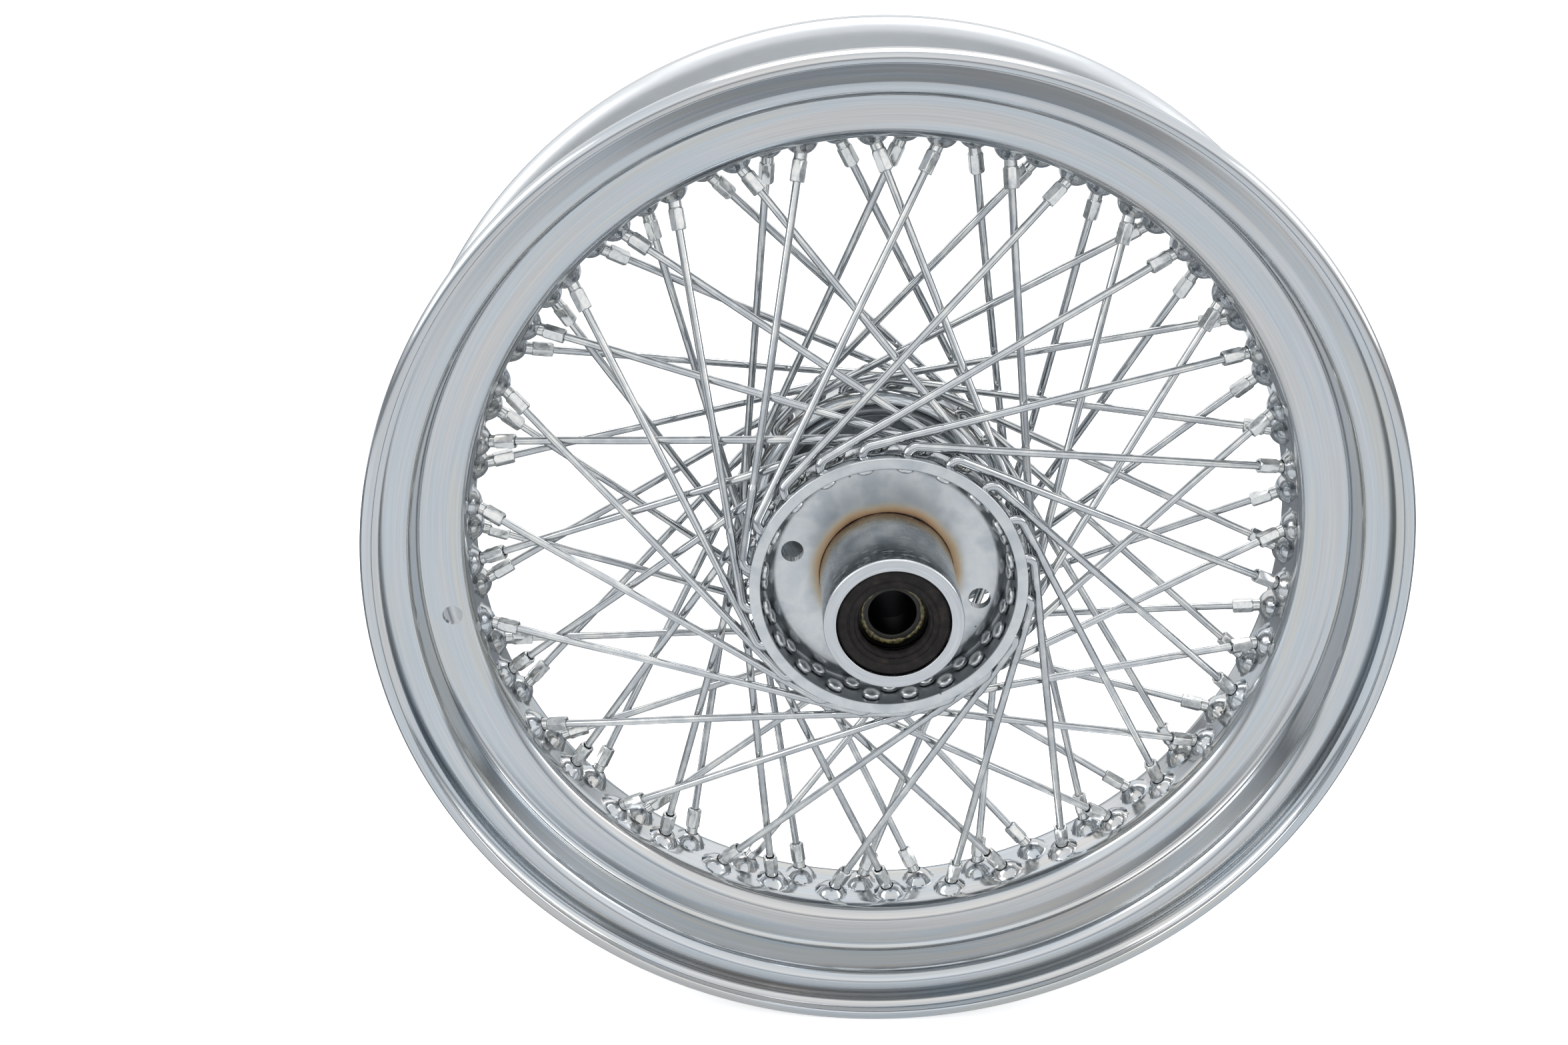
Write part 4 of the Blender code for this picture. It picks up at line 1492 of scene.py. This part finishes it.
@dataclass
class Flange:
    """One pressed cup that holds forty spoke heads, with a rust halo beside the tube."""

    side: Side
    lacing: Lacing
    radius: float = 57.6 * MM
    sheet: float = 4.7 * MM
    face: float = 53.3 * MM
    dish: float = 38.0 * MM
    gutter: float = 33.9 * MM
    bore: float = 28.15 * MM
    shoulder_radius: float = 48.0 * MM
    spoke_hole: float = 2.35 * MM
    drain_radius: float = 4.7 * MM
    drain_circle: float = 41.0 * MM
    drain_angle: float = 166.0
    drain_drill: tuple[float, float] = (20.0 * MM, 46.0 * MM)
    spoke_drill: float = 1.35
    shoulder_fillet: float = 5.5 * MM
    gutter_fillet: float = 1.6 * MM
    edge: float = 0.45 * MM
    fillet_step: float = 8.0
    steps: int = 240

    def section(self) -> list[Point]:
        """Return the flange's closed section.

        Returns:
            The section's points, as radius and Y.
        """
        wall = self.radius - self.sheet
        corners = [
            Corner(self.bore, self.side.value * self.dish),
            Corner(self.shoulder_radius, self.side.value * self.dish,
                   self.shoulder_fillet),
            Corner(wall, self.side.value * self.gutter, self.gutter_fillet),
            Corner(wall, self.side.value * self.face),
        ]
        if self.side is Side.NEAR:
            corners.reverse()
        return sheet_section(filleted(corners, math.radians(self.fillet_step)), self.sheet,
                             self.edge)

    def build(self) -> None:
        """Build the flange."""
        name = f"{self.side.label}_flange_cup"
        mesh = turned_mesh(name, self.section(), self.steps)
        shape = bmesh.new()
        drill_start = self.radius - self.spoke_drill * self.sheet
        for row in Row:
            axial = self.lacing.head_axial(self.side, row)
            for index in range(self.lacing.spokes_per_row):
                angle = (self.lacing.nipple_angle(self.side, row, index)
                         + self.lacing.head_turn(self.side, row))
                add_drill(shape, round_point(drill_start, angle, axial),
                          round_point(self.radius + self.sheet, angle, axial),
                          self.spoke_hole, 20)
        for turn in (0.0, 180.0):
            start, end = (round_point(self.drain_circle, self.drain_angle + turn,
                                      self.side.value * place) for place in self.drain_drill)
            add_drill(shape, start, end, self.drain_radius, 40)
        mesh = shaded(drilled(mesh, shape), 30.0)
        dress_back(mesh, FLANGE_PLATE, FLANGE_BACK)
        place_piece(name, mesh, FLANGE_PLATE, "wheel", f"{self.side.label}_flange")
        report(name, 1, mesh)


def turned_piece(
    name: str, corners: list[Corner], finish: Finish, body: str, node: str, steps: int = 128,
) -> bpy.types.Object:
    """Turn a closed section with filleted corners and put it in its node's place.

    Args:
        name: The piece's name.
        corners: The section's corners.
        finish: Its finish.
        body: The frame body that it moves with.
        node: The frame node that it stands for.
        steps: The number of facets round the axle.

    Returns:
        The piece.
    """
    mesh = shaded(turned_mesh(name, closed_fillets(corners), steps), 30.0)
    report(name, 1, mesh)
    return place_piece(name, mesh, finish, body, node)


@dataclass
class HubTube:
    """The tube that both flanges are pressed onto, bored for a bearing and a seal at each end."""

    seat_radius: float = 22.92 * MM
    shoulder_radius: float = 19.22 * MM
    bearing_depth: float = 26.8 * MM
    edge: float = 1.0 * MM
    mouth: float = 0.5 * MM
    steps: int = 160

    def build(self) -> None:
        """Build the tube, with its turned barrel and its faced ends as two finishes."""
        low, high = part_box("hub_tube")
        near, far, radius = low.y, high.y, high.x
        shoulders = (near + self.bearing_depth, far - self.bearing_depth)
        corners = [
            Corner(radius, near, self.edge), Corner(radius, far, self.edge),
            Corner(self.seat_radius, far, self.mouth), Corner(self.seat_radius, shoulders[1]),
            Corner(self.shoulder_radius, shoulders[1], self.mouth),
            Corner(self.shoulder_radius, shoulders[0], self.mouth),
            Corner(self.seat_radius, shoulders[0]), Corner(self.seat_radius, near, self.mouth),
        ]
        piece = turned_piece("turned_hub_tube", corners, TUBE_STEEL, "wheel", "hub_tube",
                             self.steps)
        piece.data.materials.append(TUBE_FACE.make())
        for face in piece.data.polygons:
            at_end = min(abs(face.center.y - near), abs(face.center.y - far)) < self.edge
            face.material_index = 1 if at_end else 0


@dataclass
class DiscCarrier:
    """The bolting ring on the tube's far end."""

    bolt_circle: float = 41.3 * MM
    bolt_radius: float = 4.0 * MM
    bolts: int = 5
    steps: int = 160

    def build(self) -> None:
        """Build the carrier."""
        low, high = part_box("disc_carrier")
        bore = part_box("hub_tube")[1].x + 0.15 * MM
        edge = 0.6 * MM
        corners = [Corner(bore, low.y, 0.3 * MM), Corner(high.x, low.y, edge),
                   Corner(high.x, high.y, edge), Corner(bore, high.y, 0.3 * MM)]
        mesh = turned_mesh("disc_carrier_ring", closed_fillets(corners), self.steps)
        shape = bmesh.new()
        for index in range(self.bolts):
            angle = 360.0 * index / self.bolts
            add_drill(shape, round_point(self.bolt_circle, angle, low.y - 5.0 * MM),
                      round_point(self.bolt_circle, angle, high.y + 5.0 * MM),
                      self.bolt_radius)
        mesh = shaded(drilled(mesh, shape), 30.0)
        place_piece("disc_carrier_ring", mesh, CARRIER_STEEL, "wheel", "disc_carrier")
        report("disc carrier ring", 1, mesh)


@dataclass
class Bearing:
    """One tapered roller bearing: a cup in the tube, a cone on the axle and caged rollers."""

    side: Side
    cup_mouth_wall: float = 2.42 * MM
    cup_throat_wall: float = 5.02 * MM
    bore: float = 9.525 * MM
    back_wall: float = 4.1 * MM
    front_wall: float = 2.5 * MM
    rib_height: float = 1.8 * MM
    back_rib: float = 2.6 * MM
    front_rib: float = 1.6 * MM
    front_rib_height: float = 0.9 * MM
    rollers: int = 14
    clearance: float = 0.05 * MM
    cage_sheet: float = 0.8 * MM
    roller_sides: int = 20
    end_ease: float = 0.4 * MM
    end_inset: float = 0.3 * MM
    corner: float = 0.35 * MM

    def build(self) -> None:
        """Build the bearing's pieces."""
        label = self.side.label
        sign = self.side.value
        cup_low, cup_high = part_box(f"{label}_bearing_cup")
        cone_low, cone_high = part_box(f"{label}_bearing_cone")
        cup_back = min(abs(cup_low.y), abs(cup_high.y))
        cup_mouth = max(abs(cup_low.y), abs(cup_high.y))
        cone_front = min(abs(cone_low.y), abs(cone_high.y))
        cone_back = max(abs(cone_low.y), abs(cone_high.y))
        cup_radius = cup_high.x
        race_back = self.bore + self.back_wall
        race_front = self.bore + self.front_wall
        small = self.corner
        turned_piece(f"{label}_outer_race", [
            Corner(cup_radius, sign * cup_back, 3.0 * small),
            Corner(cup_radius, sign * cup_mouth, 2.0 * small),
            Corner(cup_radius - self.cup_mouth_wall, sign * cup_mouth, small),
            Corner(cup_radius - self.cup_throat_wall, sign * cup_back, small),
        ], BEARING_STEEL, "wheel", f"{label}_bearing_cup")
        turned_piece(f"{label}_inner_race", [
            Corner(self.bore, sign * cone_back, 2.0 * small),
            Corner(race_back + self.rib_height, sign * cone_back, small),
            Corner(race_back + self.rib_height, sign * (cone_back - self.back_rib), small),
            Corner(race_back, sign * (cone_back - self.back_rib)),
            Corner(race_front, sign * (cone_front + self.front_rib)),
            Corner(race_front + self.front_rib_height, sign * (cone_front + self.front_rib),
                   small),
            Corner(race_front + self.front_rib_height, sign * cone_front, small),
            Corner(self.bore, sign * cone_front, 2.0 * small),
        ], BEARING_STEEL, "axle_core", f"{label}_bearing_cone")
        back = cone_back - self.back_rib - 0.3 * MM
        front = cone_front + self.front_rib + 0.3 * MM
        slope = (self.cup_throat_wall - self.cup_mouth_wall) / (cup_mouth - cup_back)

        def track(place: float) -> tuple[float, float]:
            """Return the middle of the roller track and half its width, at a distance.

            Args:
                place: The distance from the centre plane.

            Returns:
                The middle radius and half the width.
            """
            outer = cup_radius - self.cup_throat_wall + slope * (place - cup_back)
            share = (place - cone_front - self.front_rib) / (
                cone_back - self.back_rib - cone_front - self.front_rib)
            inner = race_front + (race_back - race_front) * share
            return (outer + inner) / 2.0, (outer - inner) / 2.0 - self.clearance

        mesh = self.roller_mesh(track, back, front)
        piece = place_piece(f"{label}_taper_rollers", mesh, BEARING_STEEL,
                            f"{label}_rollers_body", f"{label}_rollers")
        report(piece.name, 1, mesh)
        cage = self.cage_mesh(track, back, front)
        place_piece(f"{label}_roller_cage", cage, BEARING_STEEL, f"{label}_rollers_body",
                    f"{label}_rollers")
        report(f"{label}_roller_cage", 1, cage)

    def roller_mesh(self, track: Callable[[float], tuple[float, float]], back: float,
                    front: float) -> bpy.types.Mesh:
        """Return all the rollers of the bearing as one mesh.

        Args:
            track: The middle and the half width of the roller track at a distance.
            back: The distance of the rollers' large ends from the centre plane.
            front: The distance of their small ends.

        Returns:
            The mesh.
        """
        name = f"{self.side.label}_taper_rollers"
        turns = [FULL_TURN * step / self.roller_sides for step in range(self.roller_sides)]
        stacks = []
        for index in range(self.rollers):
            angle = 360.0 * index / self.rollers
            out = round_point(1.0, angle, 0.0)
            across = out.cross(AXLE)
            stack = []
            for place, inset in ((front, self.end_inset), (front + self.end_ease, 0.0),
                                 (back - self.end_ease, 0.0), (back, self.end_inset)):
                middle, half = track(place)
                centre = round_point(middle, angle, self.side.value * place)
                stack.append([centre + (out * math.cos(turn) + across * math.sin(turn))
                              * (half - inset) for turn in turns])
            stacks.append(stack)
        return shaded(stacked_mesh(name, stacks), 30.0)

    def cage_mesh(self, track: Callable[[float], tuple[float, float]], back: float,
                  front: float) -> bpy.types.Mesh:
        """Return the pressed cage: a cone of thin sheet with a window for each roller.

        Args:
            track: The middle and the half width of the roller track at a distance.
            back: The distance of the rollers' large ends from the centre plane.
            front: The distance of their small ends.

        Returns:
            The mesh.
        """
        sign = self.side.value
        path = [(track(back + 0.9 * MM)[0] + 0.5 * MM, sign * (back + 0.9 * MM)),
                (track(front)[0] + 0.5 * MM, sign * (front - 0.9 * MM))]
        if sign < 0:
            path.reverse()
        mesh = turned_mesh(f"{self.side.label}_roller_cage",
                           sheet_section(path, self.cage_sheet, 0.2 * MM), 112)
        shape = bmesh.new()
        for index in range(self.rollers):
            angle = 360.0 * index / self.rollers
            start = round_point(track(front)[0], angle, sign * (front - 0.2 * MM))
            end = round_point(track(back)[0], angle, sign * (back + 0.2 * MM))
            add_drill(shape, start, end, track(back)[1] + 0.12 * MM, self.roller_sides)
        return shaded(drilled(mesh, shape), 30.0)


@dataclass
class Seal:
    """One rubber lip seal, with a groove in its face and a lip that wipes the cone."""

    side: Side
    edge: float = 0.3 * MM
    bevel_width: float = 0.8 * MM
    bevel_depth: float = 0.6 * MM
    lip_root: float = 15.6 * MM
    # The face from the outside in: each corner's radius, its depth and whether it is rounded.
    face_steps: tuple[tuple[float, float, bool], ...] = (
        (18.6 * MM, 0.0, True), (18.3 * MM, 0.35 * MM, False), (17.9 * MM, 0.35 * MM, False),
        (17.6 * MM, 0.0, True), (15.9 * MM, 0.0, True), (15.6 * MM, 1.4 * MM, True),
        (14.6 * MM, 1.6 * MM, True), (14.0 * MM, 3.0 * MM, True), (14.1 * MM, 4.6 * MM, True))
    steps: int = 160

    def build(self) -> None:
        """Build the seal."""
        label = self.side.label
        sign = self.side.value
        low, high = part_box(f"{label}_seal")
        face = max(abs(low.y), abs(high.y))
        inner = min(abs(low.y), abs(high.y))
        radius = high.x
        corners = [
            Corner(radius, sign * inner, self.edge),
            Corner(radius, sign * (face - self.bevel_depth), self.edge),
            Corner(radius - self.bevel_width, sign * face, self.edge),
            *[Corner(place, sign * (face - depth), self.edge if rounded else 0.0)
              for place, depth, rounded in self.face_steps],
            Corner(self.lip_root, sign * inner, self.edge),
        ]
        turned_piece(f"{label}_lip_seal", corners, SEAL_RUBBER, "wheel", f"{label}_seal",
                     self.steps)


@dataclass
class SpacerStack:
    """The sleeve between the two cones and the shim that sets their end play."""

    inner_radius: float = 9.925 * MM

    def build(self) -> None:
        """Build the sleeve and the shim."""
        for node, name in (("spacer_sleeve", "turned_spacer_sleeve"),
                           ("end_play_shim", "ground_end_play_shim")):
            low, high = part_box(node)
            edge = 0.25 * MM
            corners = [Corner(self.inner_radius, low.y, edge), Corner(high.x, low.y, edge),
                       Corner(high.x, high.y, edge), Corner(self.inner_radius, high.y, edge)]
            turned_piece(name, corners, SLEEVE_STEEL, "axle_core", node)


@dataclass
class GreaseRing:
    """The grease that the seal's lip has pushed up round a cone."""

    side: Side
    radius: float = 12.2 * MM
    bead_width: float = 0.9 * MM
    bead_height: float = 0.45 * MM
    lift: float = 0.4 * MM
    steps: int = 144
    sides: int = 16
    seed: int = 5

    def build(self) -> None:
        """Build the ring with an uneven bead."""
        label = self.side.label
        low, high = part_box(f"{label}_bearing_cone")
        face = self.side.value * max(abs(low.y), abs(high.y))
        rng = np.random.default_rng(self.seed)
        waves = [(count, rng.uniform(0.1, 0.25), rng.uniform(0.0, FULL_TURN))
                 for count in (2, 3, 5, 8, 13)]
        points = []
        for step in range(self.steps):
            turn = FULL_TURN * step / self.steps
            swell = 1.0 + sum(size * math.sin(count * turn + shift)
                              for count, size, shift in waves)
            for k in range(self.sides):
                lean = FULL_TURN * k / self.sides
                radius = self.radius + self.bead_width * swell * math.cos(lean)
                axial = face + self.side.value * self.lift + (
                    self.bead_height * swell * math.sin(lean))
                points.append((radius * math.cos(turn), axial, radius * math.sin(turn)))
        faces = tube_faces(self.steps, self.sides)
        mesh = shaded(mesh_from(f"{label}_grease", np.array(points), faces), 80.0)
        place_piece(f"{label}_grease_ring", mesh, BEARING_GREASE, "axle_core")
        report(f"{label} grease ring", 1, mesh)


# ---------------------------------------------------------------- studio


@dataclass
class Studio:
    """A pale floor, soft lights and the camera."""

    camera_place: tuple[float, float, float] = (-0.0591, -0.7539, 0.3150)
    azimuth: float = -1.24
    tilt: float = 22.20
    roll: float = 1.63
    lens: float = 42.87
    sensor_width: float = 36.0
    nearest: float = 0.01
    floor_size: float = 12.0
    floor_colour: str = "#FFFFFF"
    floor_glow: float = 0.5
    wall_radius: float = 5.9
    wall_height: float = 9.0
    wall_sides: int = 64
    wall_glow: float = 1.0
    paper_roughness: float = 0.9
    room_span: tuple[float, float] = (-0.2, 1.0)
    room: Stops = ((0.0, "#8A8E92"), (0.16, "#8E9296"), (0.178, "#707478"), (0.19, "#989CA0"),
                   (0.215, "#B4B8BC"), (0.3, "#D8DCE0"), (0.42, "#FFFFFF"), (1.0, "#E4E8EC"))
    room_strength: float = 1.25
    card_drop: float = 2.0 * MM
    cards: list[tuple] = field(default_factory=lambda: [
        ("front_card", "#9EA0A2", 1.0, -3.03, (6.0, 6.0)),
        ("back_board", "#64686C", 0.0, 0.31, (2.4, 0.68)),
        ("back_card", "#B8BCBF", 0.0, 3.65, (6.0, 6.0)),
    ])
    soft_boxes: list[tuple[str, tuple, float, float]] = field(default_factory=lambda: [
        ("top_soft_box", (0.0, 0.3, 1.9), 1.6, 24.0),
        ("left_soft_box", (-1.7, -0.5, 0.9), 1.1, 12.0),
        ("right_soft_box", (1.8, -0.2, 0.8), 1.0, 9.0),
    ])

    def add_camera(self) -> None:
        """Add the camera."""
        azimuth, tilt, roll = (math.radians(value) for value in
                               (self.azimuth, self.tilt, self.roll))
        forward = Vector((-math.sin(azimuth) * math.cos(tilt),
                          math.cos(azimuth) * math.cos(tilt), -math.sin(tilt)))
        right = forward.cross(Vector((0.0, 0.0, 1.0))).normalized()
        up = right.cross(forward)
        turned_right = right * math.cos(roll) + up * math.sin(roll)
        turned_up = up * math.cos(roll) - right * math.sin(roll)
        place = Matrix.Identity(4)
        for column, axis in enumerate((turned_right, turned_up, -forward,
                                       Vector(self.camera_place))):
            for line in range(3):
                place[line][column] = axis[line]
        data = bpy.data.cameras.new("camera")
        data.lens = self.lens
        data.sensor_width = self.sensor_width
        data.clip_start = self.nearest
        camera = bpy.data.objects.new("camera", data)
        camera.matrix_world = place
        bpy.context.scene.collection.objects.link(camera)
        bpy.context.scene.camera = camera

    def add_paper(self, name: str, colour: str, glow: float, points: np.ndarray,
                  faces: np.ndarray) -> bpy.types.Object:
        """Add a piece of matt paper to the studio.

        Args:
            name: The paper's name.
            colour: Its colour.
            glow: How much light of its own it gives.
            points: Its points.
            faces: Its faces.

        Returns:
            The paper.
        """
        mesh = mesh_from(name, points, faces)
        material = bpy.data.materials.new(f"matt_paper_{name}")
        material.use_nodes = True
        shader = material.node_tree.nodes["Principled BSDF"]
        shader.inputs["Base Color"].default_value = linear(colour)
        shader.inputs["Roughness"].default_value = self.paper_roughness
        shader.inputs["Emission Color"].default_value = linear(colour)
        shader.inputs["Emission Strength"].default_value = glow
        mesh.materials.append(material)
        paper = bpy.data.objects.new(name, mesh)
        bpy.context.scene.collection.objects.link(paper)
        paper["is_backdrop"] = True
        return paper

    def add_sheet(self, name: str, colour: str, glow: float, centre: tuple[float, float, float],
                  size: tuple[float, float]) -> bpy.types.Object:
        """Add a flat, level sheet of matt paper to the studio.

        Args:
            name: The sheet's name.
            colour: Its colour.
            glow: How much light of its own it gives.
            centre: Its middle.
            size: Its size along X and Y.

        Returns:
            The sheet.
        """
        x, y, z = centre
        half_x, half_y = size[0] / 2.0, size[1] / 2.0
        points = np.array([(x - half_x, y - half_y, z), (x + half_x, y - half_y, z),
                           (x + half_x, y + half_y, z), (x - half_x, y + half_y, z)])
        return self.add_paper(name, colour, glow, points, np.array([(0, 1, 2, 3)]))

    def add_backdrop(self, level: float) -> bpy.types.Object:
        """Add the white paper wall that stands round the floor, and return it.

        Args:
            level: The height of the floor.

        Returns:
            The wall.
        """
        turns = np.linspace(0.0, FULL_TURN, self.wall_sides, endpoint=False)
        ring = np.stack([self.wall_radius * np.cos(turns), self.wall_radius * np.sin(turns),
                         np.full(self.wall_sides, level)], axis=1)
        top = ring + (0.0, 0.0, self.wall_height)
        this = np.arange(self.wall_sides)
        following = (this + 1) % self.wall_sides
        faces = np.stack([following, this, this + self.wall_sides,
                          following + self.wall_sides], axis=1)
        return self.add_paper("studio_backdrop", self.floor_colour, self.wall_glow,
                              np.concatenate([ring, top]), faces)

    def add_floor(self, level: float) -> None:
        """Add the floor that the camera sees, and the paper that the plating mirrors instead.

        The floor and the wall behind it are lit till they are plain white. The plating mirrors
        a pale card in front of the wheel, and a grey board and a pale card behind it, which
        give round wire its white core and its grey edges.

        Args:
            level: The height of the floor.
        """
        floor = self.add_sheet("studio_floor", self.floor_colour, self.floor_glow,
                               (0.0, 0.0, level), (self.floor_size, self.floor_size))
        for paper in (floor, self.add_backdrop(level)):
            paper.visible_glossy = False
            paper.visible_diffuse = False
            paper.visible_shadow = False
        for name, colour, glow, centre, size in self.cards:
            card = self.add_sheet(name, colour, glow, (0.0, centre, level - self.card_drop), size)
            card.visible_camera = False

    def add_lights(self) -> None:
        """Add the soft boxes, which all aim at the wheel's centre."""
        for name, place, size, power in self.soft_boxes:
            data = bpy.data.lights.new(name, "AREA")
            data.size = size
            data.energy = power
            lamp = bpy.data.objects.new(name, data)
            lamp.location = place
            lamp.rotation_euler = (-Vector(place)).to_track_quat("-Z", "Y").to_euler()
            bpy.context.scene.collection.objects.link(lamp)

    def add_world(self) -> None:
        """Add the light that the room's walls give, darkest in a band just above the floor."""
        world = bpy.data.worlds.new("white_room")
        world.use_nodes = True
        tree = world.node_tree
        place = add_node(tree, "TexCoord", out="Generated")
        height = add_node(tree, "SeparateXYZ", {0: place}, out="Z")
        share = stretched_product(tree, [(height, 0.0, 1.0, *self.room_span)])
        colour = add_node(tree, "ValToRGB", {0: share}, stops=self.room)
        background = tree.nodes["Background"]
        tree.links.new(colour, background.inputs["Color"])
        background.inputs["Strength"].default_value = self.room_strength
        bpy.context.scene.world = world

    def build(self, level: float) -> None:
        """Build the studio round an object that stands at a height.

        Args:
            level: The height of the floor.
        """
        bpy.context.scene.view_settings.view_transform = "Standard"
        self.add_world()
        self.add_floor(level)
        self.add_lights()
        self.add_camera()
        LOG.info("studio: floor at %.4f m, %d soft boxes", level, len(self.soft_boxes))


def main() -> None:
    """Build the wheel round its frame, and then the studio."""
    logging.basicConfig(level=logging.INFO, format="%(name)s: %(message)s")
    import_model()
    frame_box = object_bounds()
    Studio().build(frame_box[0][2])
    lacing = Lacing()
    lacing.build()
    Rim(lacing).build()
    HubTube().build()
    DiscCarrier().build()
    for side in Side:
        Flange(side, lacing).build()
        Bearing(side).build()
        Seal(side).build()
        GreaseRing(side).build()
    SpacerStack().build()


if __name__ == "__main__":
    main()
